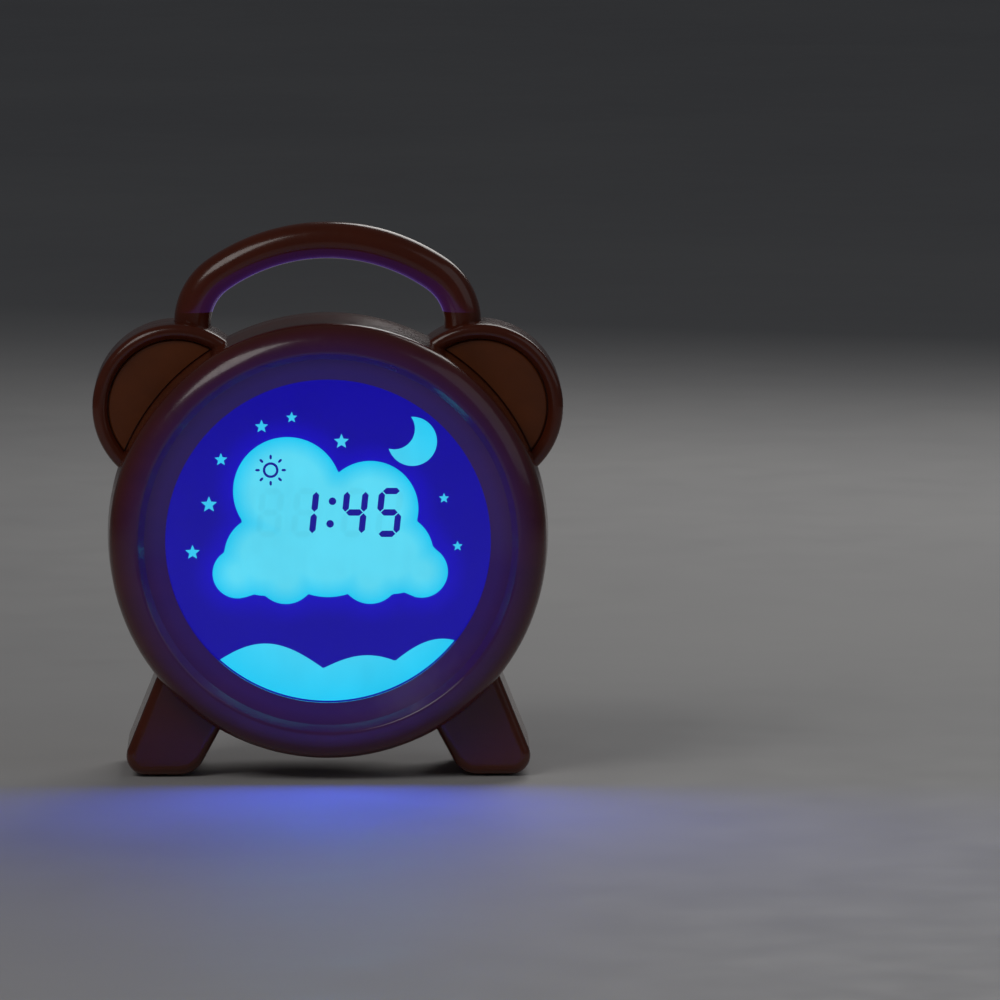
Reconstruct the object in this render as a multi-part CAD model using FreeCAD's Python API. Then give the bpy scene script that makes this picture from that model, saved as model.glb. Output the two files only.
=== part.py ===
"""Child's bedside alarm clock with a lit round display, two ears, an arched handle and two feet.

Millimetres, +Z up, the display faces -Y. The origin is the middle of the footprint on the table.
"at(d)" turns a depth behind the front crest of the ring into a Y coordinate, and "up(z)" turns a
height above the axis of the round body into a Z coordinate.
"""
import FreeCAD
import Part
import math
import os

# Body: a round two-part housing
BODY_DEPTH = 78.0
BODY_RADIUS = 73.5
GROUND_CLEARANCE = 6.5
AXIS_HEIGHT = BODY_RADIUS + GROUND_CLEARANCE
WALL = 2.4
PARTING_DEPTH = 36.0
SEAM_WIDTH = 0.3
SEAM_DEPTH = 0.35
RING_WIDTH = 9.3
RING_CREST_RADIUS = BODY_RADIUS - RING_WIDTH
RING_INNER_STEP = 3.2
RING_INNER_RADIUS = RING_CREST_RADIUS - RING_INNER_STEP
RING_INNER_DEPTH = 3.6
RING_SHOULDER = 10.0
RING_LEAN = 0.8
RING_BULGE = 2.75
CREST_EASE = 1.2
CREST_DROP = 0.45
CREST_BULGE = 0.17
BARREL_FRONT = 27.0
BARREL_REAR = 34.0
REAR_SHOULDER_SHARE = 0.62
REAR_SHOULDER_DEPTH = PARTING_DEPTH + REAR_SHOULDER_SHARE * (BODY_DEPTH - PARTING_DEPTH)
REAR_SHOULDER_INSET = 7.5
REAR_SHOULDER_RADIUS = BODY_RADIUS - REAR_SHOULDER_INSET
REAR_SHOULDER_BULGE = 2.05
REAR_FLAT_INSET = 14.0
REAR_FLAT_RADIUS = REAR_SHOULDER_RADIUS - REAR_FLAT_INSET
REAR_DOME_BULGE = 3.95

# Display opening and the parts stacked behind it
WINDOW_INSET = 19.5
WINDOW_RADIUS = BODY_RADIUS - WINDOW_INSET
FUNNEL_DEPTH = 6.5
WINDOW_LAP = 3.0
WINDOW_SEAT_DEPTH = 8.3
WINDOW_THICKNESS = 2.0
LOCATING_WALL = 1.6
LOCATING_HEIGHT = 3.7
MASK_THICKNESS = 0.3
LCD_WIDTH = 70.0
LCD_HEIGHT = 62.0
LCD_THICKNESS = 2.2
GUIDE_THICKNESS = 4.0
REFLECTOR_THICKNESS = 0.4
STACK_GAP = 0.1
FRAME_RIM = 2.0
FRAME_FLOOR = 1.6
FRAME_POST_RADIUS = 3.0
FRAME_POST_OFFSET = 10.0
FRAME_POST_CIRCLE = WINDOW_RADIUS + FRAME_POST_OFFSET
FRAME_ARM_ROOT = 4.0
FRAME_POST_ANGLES = (14.0, 166.0, 194.0, 346.0)
LED_WIDTH = 3.6
LED_DEPTH = 2.0
LED_ANGLES = (45.0, 135.0, 225.0, 315.0)
LED_FRONT = 0.8
LED_GAP = 0.6

# Main board on the back of the display frame
BOARD_WIDTH = 84.0
BOARD_HEIGHT = 60.0
BOARD_THICKNESS = 1.6
BOARD_STANDOFF = 4.8
BOARD_EDGE = 4.0
BOARD_CORNER = 2.0
CHIP_SIZE = 12.0
CHIP_HEIGHT = 1.6
CHIP_PLACE = (-14.0, 4.0)
CAPACITOR_RADIUS = 3.2
CAPACITOR_HEIGHT = 7.0
CAPACITOR_PLACES = ((18.0, -12.0), (27.0, -12.0))
PLUG_LENGTH = 14.0
PLUG_SIZE = 5.0
PLUG_PLACE = (8.0, 20.0)

# Ears
EAR_ANGLE = 40.36
EAR_INSET = 7.1
EAR_X = (BODY_RADIUS - EAR_INSET) * math.cos(math.radians(EAR_ANGLE))
EAR_Z = (BODY_RADIUS - EAR_INSET) * math.sin(math.radians(EAR_ANGLE))
EAR_RADIUS = 27.8
EAR_FRONT = 21.9
EAR_LIP = 1.8
EAR_RIM_EASE = 3.6
EAR_RIM_LENGTH = 7.0
EAR_DRAFT = 0.2
EAR_REAR = 56.0
EAR_REAR_ROUND = 9.8
EAR_RIM = 5.1
PAD_SEAT_DEPTH = 26.4
PAD_THICKNESS = 2.2
PAD_PEG_RADIUS = 1.5
PAD_PEG_LENGTH = 1.6
PAD_PEG_REACH = 15.0
PAD_PEG_SPREAD = 36.0

# Handle: an oval arch of round section, held in sockets between the two housings
HANDLE_INSET = 5.5
HANDLE_HALF_SPAN = EAR_X - HANDLE_INSET
HANDLE_RISE = 27.8
HANDLE_SINK = 0.8
HANDLE_BASE_Z = EAR_Z + EAR_RADIUS - HANDLE_SINK
HANDLE_RADIUS = 6.15
HANDLE_END_RADIUS = 20.0
PEG_LENGTH = 12.0
PEG_GROOVE_RADIUS = 4.2
PEG_GROOVE_HEIGHT = 3.0
PEG_GROOVE_FROM_END = 3.5
SOCKET_WALL = 2.4

# Feet: splayed bars under the body, outlines read from the front
FOOT_FRONT = 14.0
FOOT_REAR = 62.0
FOOT_OUTER_INSET = 3.1
FOOT_OUTER_X = BODY_RADIUS - FOOT_OUTER_INSET
FOOT_WIDTH = 26.1
FOOT_INNER_X = FOOT_OUTER_X - FOOT_WIDTH
FOOT_OUTER_SLOPE = 0.4025
FOOT_INNER_SLOPE = 0.539
FOOT_OUTER_ROUND = 6.3
FOOT_INNER_ROUND = 9.0
FOOT_EDGE_ROUND = 3.2
FOOT_ROUND_TOP = 35.7
FOOT_OUTER_REACH = 49.0
FOOT_INNER_REACH = 33.0
FOOT_PAD_WIDTH = 9.6
FOOT_PAD_LENGTH = 13.0
FOOT_PAD_INSET = 15.1
FOOT_PAD_X = FOOT_OUTER_X - FOOT_PAD_INSET
FOOT_PAD_DEPTHS = (25.0, 51.0)
FOOT_PAD_PROUD = 0.6
FOOT_PAD_SUNK = 0.8

# Screws
SCREW_CORE = 1.4
SCREW_HEAD = 3.0
SCREW_HEAD_HEIGHT = 2.0
SMALL_SCREW_CORE = 1.0
SMALL_SCREW_HEAD = 2.0
SMALL_SCREW_HEAD_HEIGHT = 1.2
SMALL_SCREW_GRIP = 5.5
LOWER_SCREW_INSET = 9.7
LOWER_SCREW_ANGLE = -48.8
SCREW_TIP_ROOM = 2.0
SMALL_SCREW_TIP_ROOM = 1.0
HEAD_ROOT = 0.5
SCREW_SEAT_DEPTH = 46.0
SCREW_GRIP = 17.0
PILLAR_RADIUS = 4.2
TUBE_WALL = 2.0

# Rear key panel: a half-round recess with keys, a slide switch and the speaker grille
PANEL_MARGIN = 4.0
PANEL_RADIUS = REAR_FLAT_RADIUS - PANEL_MARGIN
PANEL_BOTTOM = -1.5
PANEL_RECESS = 1.5
PANEL_THICKNESS = 2.4
KEY_X = 0.604 * PANEL_RADIUS
KEY_ROWS = (0.708 * PANEL_RADIUS, 0.417 * PANEL_RADIUS, 0.125 * PANEL_RADIUS)
KEY_RADIUS = 4.4
KEY_PROUD = 1.2
KEY_TRAVEL = 1.0
KEY_FLANGE_WIDTH = 1.2
KEY_FLANGE_THICKNESS = 1.0
KEY_STEM_RADIUS = 1.8
KEY_BOARD_DROP = 13.6
KEY_BOARD_DEPTH = BODY_DEPTH - KEY_BOARD_DROP
KEY_BOARD_SIDE = 7.5
KEY_BOARD_END = 6.2
KEY_BOARD_NOTCH_GAP = 3.5
KEY_BOARD_ARM_LAP = 4.0
KEY_POST_RISE = 3.0
UPPER_POST_INSET = 9.5
LOWER_POST_INSET = 12.0
KEY_POST_PLACES = ((KEY_X - UPPER_POST_INSET, KEY_ROWS[0] + KEY_POST_RISE),
                   (KEY_X - LOWER_POST_INSET, KEY_ROWS[2] - KEY_POST_RISE))
KEY_POST_RADIUS = 2.2
SWITCH_SIZE = 6.0
SWITCH_HEIGHT = 2.5
PLUNGER_HEIGHT = 1.2
PLUNGER_RADIUS = 1.6
SLIDER_LENGTH = 8.0
SLIDER_HEIGHT = 4.4
SLIDER_TRAVEL = 4.0
SLIDER_BODY_LENGTH = 13.0
SLIDER_BODY_HEIGHT = 6.6
SLIDER_BODY_DEPTH = 4.4
SLIDER_CORNER = 0.9
SLIDER_GROOVE = 0.8
SLIDER_GROOVE_PITCH = 2.0
SLIDER_GROOVE_DEPTH = 0.6
SLIDER_FLANGE_LENGTH = 12.0
SLIDER_FLANGE_HEIGHT = 6.8
SLIDER_STEM = (3.0, 2.0)

# Speaker behind its grille
SPEAKER_Z = 0.521 * PANEL_RADIUS
SPEAKER_RADIUS = 0.2917 * PANEL_RADIUS
SPEAKER_FLANGE = 1.2
SPEAKER_DEPTH = 8.6
SPEAKER_RIM = 2.4
BASKET_WALL = 1.2
BASKET_FLOOR = 0.6
MAGNET_INSET = 6.5
MAGNET_RADIUS = SPEAKER_RADIUS - MAGNET_INSET
MAGNET_HEIGHT = 3.2
CONE_RADIUS = SPEAKER_RADIUS - SPEAKER_RIM
CONE_THICKNESS = 0.4
CONE_DEPTH = 2.6
CONE_SEAT = 0.6
CONE_SEAT_LAP = 0.8
SURROUND_LAP = 1.3
DUST_CAP_RADIUS = 4.4
DUST_CAP_HEIGHT = 0.9
COLLAR_WALL = 1.2
GRILLE_INSET = 2.5
GRILLE_RADIUS = SPEAKER_RADIUS - GRILLE_INSET
GRILLE_SLOT = 1.6
GRILLE_PITCH = 3.3
RING_THICKNESS = 1.2
SPEAKER_RING_LAP = 0.8
SPEAKER_RING_HOLE = 1.6
SPEAKER_SCREW_GRIP = 3.4
SPEAKER_POST_OFFSET = 4.6
SPEAKER_POST_X = SPEAKER_RADIUS + SPEAKER_POST_OFFSET

# Battery compartment for three cells lying across the clock
CELL_RADIUS = 5.25
CELL_LENGTH = 43.3
CELL_NUB_RADIUS = 1.9
CELL_NUB_LENGTH = 1.2
CELL_PITCH = 11.2
CELL_COUNT = 3
CELL_ROUND = 0.6
CELL_NUB_ROOT = 0.5
CONTACT_THICKNESS = 0.4
CONTACT_WIDTH = 9.0
CONTACT_TALL = 8.8
SPRING_LENGTH = 4.6
SPRING_WIRE = 0.35
SPRING_TURNS = 3
SPRING_BASE_RADIUS = 3.4
SPRING_TAPER = -12.0
BAY_Z = -23.2
BAY_DEPTH = 13.4
BAY_WALL = 1.5
BAY_CORNER = 1.0
BAY_OUTER_CORNER = 2.0
DOOR_LEDGE = 1.2
DOOR_THICKNESS = 2.4
DOOR_PIN_RADIUS = 0.7
DOOR_PIN_LENGTH = 1.6
DOOR_TONGUE_WIDTH = 12.0
DOOR_TONGUE_REACH = 1.4
DOOR_TONGUE_STEP = 0.9
DOOR_TONGUE_CORNER = 0.5
FINGER_NOTCH_RADIUS = 7.0
FINGER_NOTCH_DEPTH = 1.4

# Night-light button on top, behind the handle
TOP_BUTTON_LENGTH = 30.0
TOP_BUTTON_WIDTH = 12.0
TOP_BUTTON_DEPTH = 46.5
TOP_BUTTON_TRAVEL = 1.5
TOP_BUTTON_SKIN = 2.0
TOP_BUTTON_FLANGE = 1.4
TOP_BUTTON_FLANGE_LAP = 2.0
TOP_FLANGE_DROP = 10.5
TOP_BUTTON_FLANGE_Z = BODY_RADIUS - TOP_FLANGE_DROP
TOP_BUTTON_RIB = 1.2
TOP_BUTTON_STEM_RADIUS = 2.4
TOP_BOARD_DROP = 20.0
TOP_BOARD_Z = BODY_RADIUS - TOP_BOARD_DROP
TOP_BOARD_LENGTH = 50.0
TOP_BOARD_WIDTH = 12.0
TOP_POST_X = 21.5

# Clearances
FIT_GAP = 0.15
RUNNING_GAP = 0.06
PRESS_GAP = 0.05
PAD_GAP = 0.2
DOOR_GAP = 0.2
STOP_GAP = 0.2

# Cutters: how far they run past a piece, and a size larger than the whole clock
PAST = 1.0
FAR = 200.0
AXIS_OVERSHOOT = -10.0


def at(depth):
    """Y of a depth behind the front crest."""
    return depth - BODY_DEPTH / 2


def up(height):
    """Z of a height above the axis of the body."""
    return height + AXIS_HEIGHT


def vec(x, y, z):
    return FreeCAD.Vector(x, y, z)


def closed_wire(start, steps):
    """Closed flat wire. A step is a corner, or the middle and the end of an arc."""
    edges = []
    here = vec(start[0], start[1], 0)
    for step in steps:
        if isinstance(step[0], tuple):
            middle = vec(step[0][0], step[0][1], 0)
            there = vec(step[1][0], step[1][1], 0)
            edges.append(Part.Arc(here, middle, there).toShape())
        else:
            there = vec(step[0], step[1], 0)
            edges.append(Part.makeLine(here, there))
        here = there
    return Part.Wire(edges)


def bulge(start, end, height):
    """Middle of an arc that stands off its chord by a height, to the outside of a turned profile."""
    dx = end[0] - start[0]
    dy = end[1] - start[1]
    length = math.hypot(dx, dy)
    return (start[0] + end[0]) / 2 + height * dy / length, (start[1] + end[1]) / 2 - height * dx / length


def turned(wire, inset=0.0):
    """Solid of revolution about the Y axis of a profile that overshoots the axis, inset by a wall."""
    face = Part.Face(wire)
    if inset:
        face = Part.Face(wire.makeOffset2D(-inset, 2))
    half = Part.makePlane(FAR, 2 * FAR, vec(0, -FAR, 0))
    section = face.common(half).Faces[0]
    solid = section.revolve(vec(0, 0, 0), vec(0, 1, 0), 360)
    if solid.Volume < 0:
        solid.reverse()
    return solid


def rod(radius, depth, reach, x=0.0, height=0.0):
    """Cylinder along Y from one depth to another, at a place measured from the body axis."""
    return Part.makeCylinder(radius, reach - depth, vec(x, at(depth), up(height)), vec(0, 1, 0))


def post(radius, low, high, x, depth):
    """Upright cylinder between two heights above the body axis."""
    return Part.makeCylinder(radius, high - low, vec(x, at(depth), up(low)), vec(0, 0, 1))


def block(width, tall, depth, reach, x=0.0, height=0.0, corner=0.0):
    """Box centred on a place, from one depth to another, with its four long edges rounded."""
    solid = Part.makeBox(width, reach - depth, tall, vec(x - width / 2, at(depth), up(height - tall / 2)))
    if corner:
        edges = [e for e in solid.Edges if abs(e.tangentAt(e.FirstParameter).y) > 0.99]
        solid = solid.makeFillet(corner, edges)
    return solid


def slot_prism(length, width, low, high, depth):
    """Upright prism with round ends, long along X."""
    corner = vec((width - length) / 2, at(depth) - width / 2, up(low))
    middle = Part.makeBox(length - width, width, high - low, corner)
    ends = [post(width / 2, low, high, side * (length - width) / 2, depth) for side in (-1, 1)]
    return middle.fuse(ends).removeSplitter()


def slab(depth, reach):
    """Everything between two depths."""
    return Part.makeBox(2 * FAR, reach - depth, 2 * FAR, vec(-FAR, at(depth), -FAR))


def mirrored(shape):
    return shape.mirror(vec(0, 0, 0), vec(1, 0, 0))


def pair(shape):
    """A piece on the right and its mirror image on the left."""
    return [shape, mirrored(shape)]


def on_circle(radius, angle):
    turn = math.radians(angle)
    return radius * math.cos(turn), radius * math.sin(turn)


def joined(first, others):
    """One clean solid from pieces that meet."""
    return first.fuse(others).removeSplitter()


def body_form(inset=0.0):
    """Round body: display funnel, front ring, short barrel and domed back."""
    crest_start = (RING_CREST_RADIUS - CREST_EASE, CREST_DROP)
    crest = (RING_CREST_RADIUS, 0.0)
    shoulder = (BODY_RADIUS - RING_LEAN, RING_SHOULDER)
    barrel_end = (BODY_RADIUS, BARREL_REAR)
    rear_shoulder = (REAR_SHOULDER_RADIUS, REAR_SHOULDER_DEPTH)
    rear_flat = (REAR_FLAT_RADIUS, BODY_DEPTH)
    steps = [
        (WINDOW_RADIUS, FUNNEL_DEPTH),
        (RING_INNER_RADIUS, RING_INNER_DEPTH),
        crest_start,
        (bulge(crest_start, crest, CREST_BULGE), crest),
        (bulge(crest, shoulder, RING_BULGE), shoulder),
        (BODY_RADIUS, BARREL_FRONT),
        barrel_end,
        (bulge(barrel_end, rear_shoulder, REAR_SHOULDER_BULGE), rear_shoulder),
        (bulge(rear_shoulder, rear_flat, REAR_DOME_BULGE), rear_flat),
        (AXIS_OVERSHOOT, BODY_DEPTH),
        (AXIS_OVERSHOOT, FUNNEL_DEPTH),
    ]
    solid = turned(closed_wire((AXIS_OVERSHOOT, FUNNEL_DEPTH), steps), inset)
    solid.translate(vec(0, at(0), up(0)))
    return solid


def ear_form(inset=0.0):
    """Right ear: a thick round ear with a half-round rim around a sunk seat for the pad.

    The rim is solid, so the inset form that hollows the ear starts behind the seat.
    """
    seat = EAR_RADIUS - EAR_RIM
    rim = [
        (seat, PAD_SEAT_DEPTH),
        (seat, PAD_SEAT_DEPTH - EAR_LIP),
        (((seat + EAR_RADIUS) / 2, EAR_FRONT), (EAR_RADIUS - EAR_DRAFT, EAR_FRONT + EAR_RIM_EASE)),
        (EAR_RADIUS, EAR_FRONT + EAR_RIM_LENGTH),
    ]
    steps = [(EAR_RADIUS, PAD_SEAT_DEPTH)] if inset else rim
    rear_start = (EAR_RADIUS, EAR_REAR - EAR_REAR_ROUND)
    rear_end = (EAR_RADIUS - EAR_REAR_ROUND, EAR_REAR)
    quarter_bulge = EAR_REAR_ROUND * (1 - math.cos(math.radians(45)))
    steps += [
        rear_start,
        (bulge(rear_start, rear_end, quarter_bulge), rear_end),
        (AXIS_OVERSHOOT, EAR_REAR),
        (AXIS_OVERSHOOT, PAD_SEAT_DEPTH),
    ]
    solid = turned(closed_wire((AXIS_OVERSHOOT, PAD_SEAT_DEPTH), steps), inset)
    solid.translate(vec(EAR_X, at(0), up(EAR_Z)))
    return solid


def rounded_corner(corner, before, after, radius):
    """Arc that rounds one corner of a flat outline: its start, middle and end."""
    corner = vec(corner[0], corner[1], 0)
    first = (vec(before[0], before[1], 0) - corner).normalize()
    second = (vec(after[0], after[1], 0) - corner).normalize()
    half = first.getAngle(second) / 2
    bisector = (first + second).normalize()
    centre = corner + bisector * (radius / math.sin(half))
    start = corner + first * (radius / math.tan(half))
    end = corner + second * (radius / math.tan(half))
    middle = centre - bisector * radius
    return (start.x, start.y), (middle.x, middle.y), (end.x, end.y)


def foot_form(inset=0.0):
    """Right foot: a splayed bar under the body with round bottom corners and soft end edges."""
    bottom = FOOT_PAD_PROUD - AXIS_HEIGHT
    outer_top = (FOOT_OUTER_X - FOOT_OUTER_SLOPE * FOOT_OUTER_REACH, bottom + FOOT_OUTER_REACH)
    inner_top = (FOOT_INNER_X - FOOT_INNER_SLOPE * FOOT_INNER_REACH, bottom + FOOT_INNER_REACH)
    outer = rounded_corner((FOOT_OUTER_X, bottom), outer_top, (FOOT_INNER_X, bottom), FOOT_OUTER_ROUND)
    inner = rounded_corner((FOOT_INNER_X, bottom), (FOOT_OUTER_X, bottom), inner_top, FOOT_INNER_ROUND)
    steps = [outer[0], (outer[1], outer[2]), inner[0], (inner[1], inner[2]), inner_top, outer_top]
    wire = closed_wire(outer_top, steps)
    if inset:
        wire = wire.makeOffset2D(-inset, 2)
    wire.rotate(vec(0, 0, 0), vec(1, 0, 0), 90)
    wire.translate(vec(0, at(FOOT_FRONT + inset), up(0)))
    bar = Part.Face(wire).extrude(vec(0, FOOT_REAR - FOOT_FRONT - 2 * inset, 0))
    if bar.Volume < 0:
        bar.reverse()
    if not inset:
        ends = (at(FOOT_FRONT), at(FOOT_REAR))
        edges = [e for e in bar.Edges
                 if any(abs(e.BoundBox.YMin - y) < 1e-4 and abs(e.BoundBox.YMax - y) < 1e-4 for y in ends)
                 and e.BoundBox.ZMin < FOOT_ROUND_TOP]
        bar = bar.makeFillet(FOOT_EDGE_ROUND, edges)
    return bar


def handle_socket():
    """Upright boss in the right ear that holds a handle peg, with a rib for the peg's groove."""
    low = HANDLE_BASE_Z - PEG_LENGTH
    rib = low + PEG_GROOVE_FROM_END
    boss = post(HANDLE_RADIUS + FIT_GAP + SOCKET_WALL, low, HANDLE_BASE_Z, HANDLE_HALF_SPAN, PARTING_DEPTH)
    bore = post(HANDLE_RADIUS + FIT_GAP, low - FIT_GAP, HANDLE_BASE_Z + EAR_RADIUS, HANDLE_HALF_SPAN,
                PARTING_DEPTH)
    grip = post(HANDLE_RADIUS + 2 * FIT_GAP, rib + FIT_GAP, rib + PEG_GROOVE_HEIGHT - FIT_GAP,
                HANDLE_HALF_SPAN, PARTING_DEPTH)
    grip = grip.cut(post(PEG_GROOVE_RADIUS + FIT_GAP, low, HANDLE_BASE_Z, HANDLE_HALF_SPAN, PARTING_DEPTH))
    return boss, bore, grip


def clock_form(inset=0.0):
    """Body, ears and feet as one solid, inset by a wall."""
    return body_form(inset).fuse(pair(ear_form(inset)) + pair(foot_form(inset)))


def seam_groove():
    """Fine groove all round the outside, where the two housings meet."""
    start = PARTING_DEPTH - SEAM_WIDTH / 2
    band = slab(start, start + SEAM_WIDTH)
    return band.cut(clock_form(SEAM_DEPTH))


def whole_shell():
    """Both housings before they are parted, hollow and with the handle sockets in the ears."""
    shell = clock_form().cut(clock_form(WALL)).cut(seam_groove())
    boss, bore, grip = handle_socket()
    boss = boss.common(ear_form())
    shell = shell.fuse(pair(boss))
    shell = shell.cut(pair(bore))
    return shell.fuse(pair(grip))


def screw_places():
    lower = on_circle(BODY_RADIUS - LOWER_SCREW_INSET, LOWER_SCREW_ANGLE)
    return [(side * x, z) for x, z in ((EAR_X, EAR_Z), lower) for side in (-1, 1)]


def frame_post_places():
    return [on_circle(FRAME_POST_CIRCLE, angle) for angle in FRAME_POST_ANGLES]


def window_back():
    return WINDOW_SEAT_DEPTH + WINDOW_THICKNESS


def lcd_front():
    return window_back() + 2 * STACK_GAP + MASK_THICKNESS


def guide_front():
    return lcd_front() + LCD_THICKNESS + STACK_GAP


def reflector_front():
    return guide_front() + GUIDE_THICKNESS + STACK_GAP


def frame_floor():
    return reflector_front() + REFLECTOR_THICKNESS + STACK_GAP


def frame_back():
    return frame_floor() + FRAME_FLOOR


def board_front():
    return frame_back() + BOARD_STANDOFF


def foot_pad(x, depth, grow=0.0):
    """Stadium-shaped rubber pad under a foot, or its recess when it is grown."""
    width = FOOT_PAD_WIDTH + 2 * grow
    length = FOOT_PAD_LENGTH + 2 * grow
    height = FOOT_PAD_PROUD + FOOT_PAD_SUNK
    corner = vec(x - width / 2, at(depth) - (length - width) / 2, 0)
    middle = Part.makeBox(width, length - width, height, corner)
    ends = [Part.makeCylinder(width / 2, height, vec(x, at(depth) + side * (length - width) / 2, 0))
            for side in (-1, 1)]
    return joined(middle, ends)


def foot_pads(grow=0.0):
    return [foot_pad(side * FOOT_PAD_X, depth, grow) for side in (-1, 1) for depth in FOOT_PAD_DEPTHS]


def front_housing(shell):
    """Front half: ring, funnel, window seat, screw pillars and posts for the display frame."""
    half = shell.common(slab(-PAST, PARTING_DEPTH))
    seat_radius = WINDOW_RADIUS + WINDOW_LAP + FIT_GAP
    additions = [rod(seat_radius + LOCATING_WALL, 0.0, WINDOW_SEAT_DEPTH + LOCATING_HEIGHT)]
    for x, z in screw_places():
        additions.append(rod(PILLAR_RADIUS, 0.0, PARTING_DEPTH, x, z))
    for x, z in frame_post_places():
        additions.append(rod(FRAME_POST_RADIUS, 0.0, frame_floor(), x, z))
    form = body_form()
    half = half.fuse([piece.common(form) for piece in additions])
    cuts = [rod(WINDOW_RADIUS, -PAST, PARTING_DEPTH), rod(seat_radius, WINDOW_SEAT_DEPTH, PARTING_DEPTH)]
    for x, z in screw_places():
        cuts.append(rod(SCREW_CORE + PRESS_GAP, PARTING_DEPTH - SCREW_GRIP, PARTING_DEPTH + PAST, x, z))
    for x, z in frame_post_places():
        cuts.append(rod(SMALL_SCREW_CORE + PRESS_GAP, frame_floor() - SMALL_SCREW_GRIP, PARTING_DEPTH, x, z))
    for x, z in pad_pegs():
        reach = PAD_SEAT_DEPTH + PAD_PEG_LENGTH + PAST
        cuts.append(rod(PAD_PEG_RADIUS + PRESS_GAP, PAD_SEAT_DEPTH - PAST, reach, x, z))
    return half.cut(cuts + foot_pads(PRESS_GAP)).removeSplitter()


def panel_outline(radius, depth, reach, bottom):
    """Part of a disc above a straight lower edge."""
    disc = rod(radius, depth, reach)
    upper = block(2 * radius + PAST, FAR, depth, reach, 0.0, bottom + FAR / 2)
    return disc.common(upper)


def panel_floor():
    return BODY_DEPTH - PANEL_RECESS


def panel_back():
    return panel_floor() - PANEL_THICKNESS


def bay_width():
    """Room along X for a cell with its spring and both contact plates."""
    return CELL_LENGTH + CELL_NUB_LENGTH + SPRING_LENGTH + 2 * CONTACT_THICKNESS + 2 * STACK_GAP


def bay_height():
    return CELL_COUNT * CELL_PITCH + 2 * DOOR_GAP


def door_size():
    return bay_width() + 2 * DOOR_LEDGE, bay_height() + 2 * DOOR_LEDGE


def door_seat():
    return BODY_DEPTH - DOOR_THICKNESS


def bay_floor():
    return door_seat() - BAY_DEPTH


def key_places():
    """Names and places of the five rear keys; the sixth place holds the slide switch."""
    names = ("time_button", "alarm_button", "wake_button", "plus_button", "minus_button")
    places = [(-KEY_X, z) for z in KEY_ROWS] + [(KEY_X, z) for z in KEY_ROWS[:2]]
    return list(zip(names, places))


def slider_place():
    return KEY_X, KEY_ROWS[2]


def key_post_places():
    return [(side * x, z) for x, z in KEY_POST_PLACES for side in (-1, 1)]


def speaker_posts():
    """Places of the two posts beside the speaker."""
    return [(side * SPEAKER_POST_X, SPEAKER_Z) for side in (-1, 1)]


def speaker_post_start():
    return panel_back() - SPEAKER_FLANGE - STACK_GAP


def grille_slots():
    """Level slots whose ends follow a circle."""
    slots = []
    count = int(GRILLE_RADIUS / GRILLE_PITCH)
    for row in range(-count, count + 1):
        offset = row * GRILLE_PITCH
        length = 2 * math.sqrt(GRILLE_RADIUS ** 2 - offset ** 2)
        corner = GRILLE_SLOT / 2 - PRESS_GAP
        slots.append(block(length, GRILLE_SLOT, panel_back() - PAST, BODY_DEPTH, 0.0, SPEAKER_Z + offset,
                           corner))
    return slots


def rear_additions():
    """What is added inside the rear half: screw tubes, panel, bay, posts, speaker collar and hangers."""
    form = body_form()
    tube_radius = SCREW_HEAD + FIT_GAP + TUBE_WALL
    additions = [rod(tube_radius, PARTING_DEPTH, BODY_DEPTH, x, z).common(form) for x, z in screw_places()]
    additions.append(panel_outline(PANEL_RADIUS + WALL, panel_back(), panel_floor(), PANEL_BOTTOM - WALL))
    door_width, door_height = door_size()
    additions.append(block(door_width + 2 * BAY_WALL, door_height + 2 * BAY_WALL, bay_floor() - BAY_WALL,
                           door_seat() + PAST, 0.0, BAY_Z, BAY_OUTER_CORNER))
    for x, z in key_post_places():
        additions.append(rod(KEY_POST_RADIUS, switch_base(), panel_floor(), x, z))
    for x, z in speaker_posts():
        additions.append(rod(KEY_POST_RADIUS, speaker_post_start(), panel_floor(), x, z))
    collar = SPEAKER_RADIUS + FIT_GAP + COLLAR_WALL
    additions.append(rod(collar, panel_back() - SPEAKER_FLANGE, panel_floor(), 0.0, SPEAKER_Z))
    for side in (-1, 1):
        hanger = post(KEY_POST_RADIUS, top_board_back(), BODY_RADIUS, side * TOP_POST_X, TOP_BUTTON_DEPTH)
        additions.append(hanger.common(form))
    return additions


def screw_cuts():
    """Bores and head wells of the housing screws, and the pilot holes in the rear half's posts."""
    cuts = []
    for x, z in screw_places():
        cuts.append(rod(SCREW_CORE + 2 * FIT_GAP, PARTING_DEPTH - PAST, BODY_DEPTH + PAST, x, z))
        cuts.append(rod(SCREW_HEAD + FIT_GAP, SCREW_SEAT_DEPTH, BODY_DEPTH + PAST, x, z))
    pilot = SMALL_SCREW_CORE + PRESS_GAP
    for x, z in key_post_places():
        cuts.append(rod(pilot, switch_base() - PAST, switch_base() + SMALL_SCREW_GRIP, x, z))
    for x, z in speaker_posts():
        cuts.append(rod(pilot, speaker_post_start() - PAST, panel_floor() - PAST, x, z))
    for side in (-1, 1):
        cuts.append(post(pilot, top_board_back() - PAST, top_board_back() + SMALL_SCREW_GRIP,
                         side * TOP_POST_X, TOP_BUTTON_DEPTH))
    return cuts


def bay_cuts():
    """Battery bay, the door's recess, pin bores and the slot for its tongue."""
    door_width, door_height = door_size()
    seat = door_seat() - FIT_GAP
    return [
        block(bay_width(), bay_height(), bay_floor(), BODY_DEPTH, 0.0, BAY_Z, BAY_CORNER),
        block(door_width, door_height, seat, BODY_DEPTH + PAST, 0.0, BAY_Z),
        door_pins(RUNNING_GAP, DOOR_PIN_LENGTH + FIT_GAP),
        block(DOOR_TONGUE_WIDTH, 2 * DOOR_TONGUE_REACH, seat, BODY_DEPTH + PAST,
              0.0, BAY_Z + door_height / 2, DOOR_TONGUE_CORNER),
    ]


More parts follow.
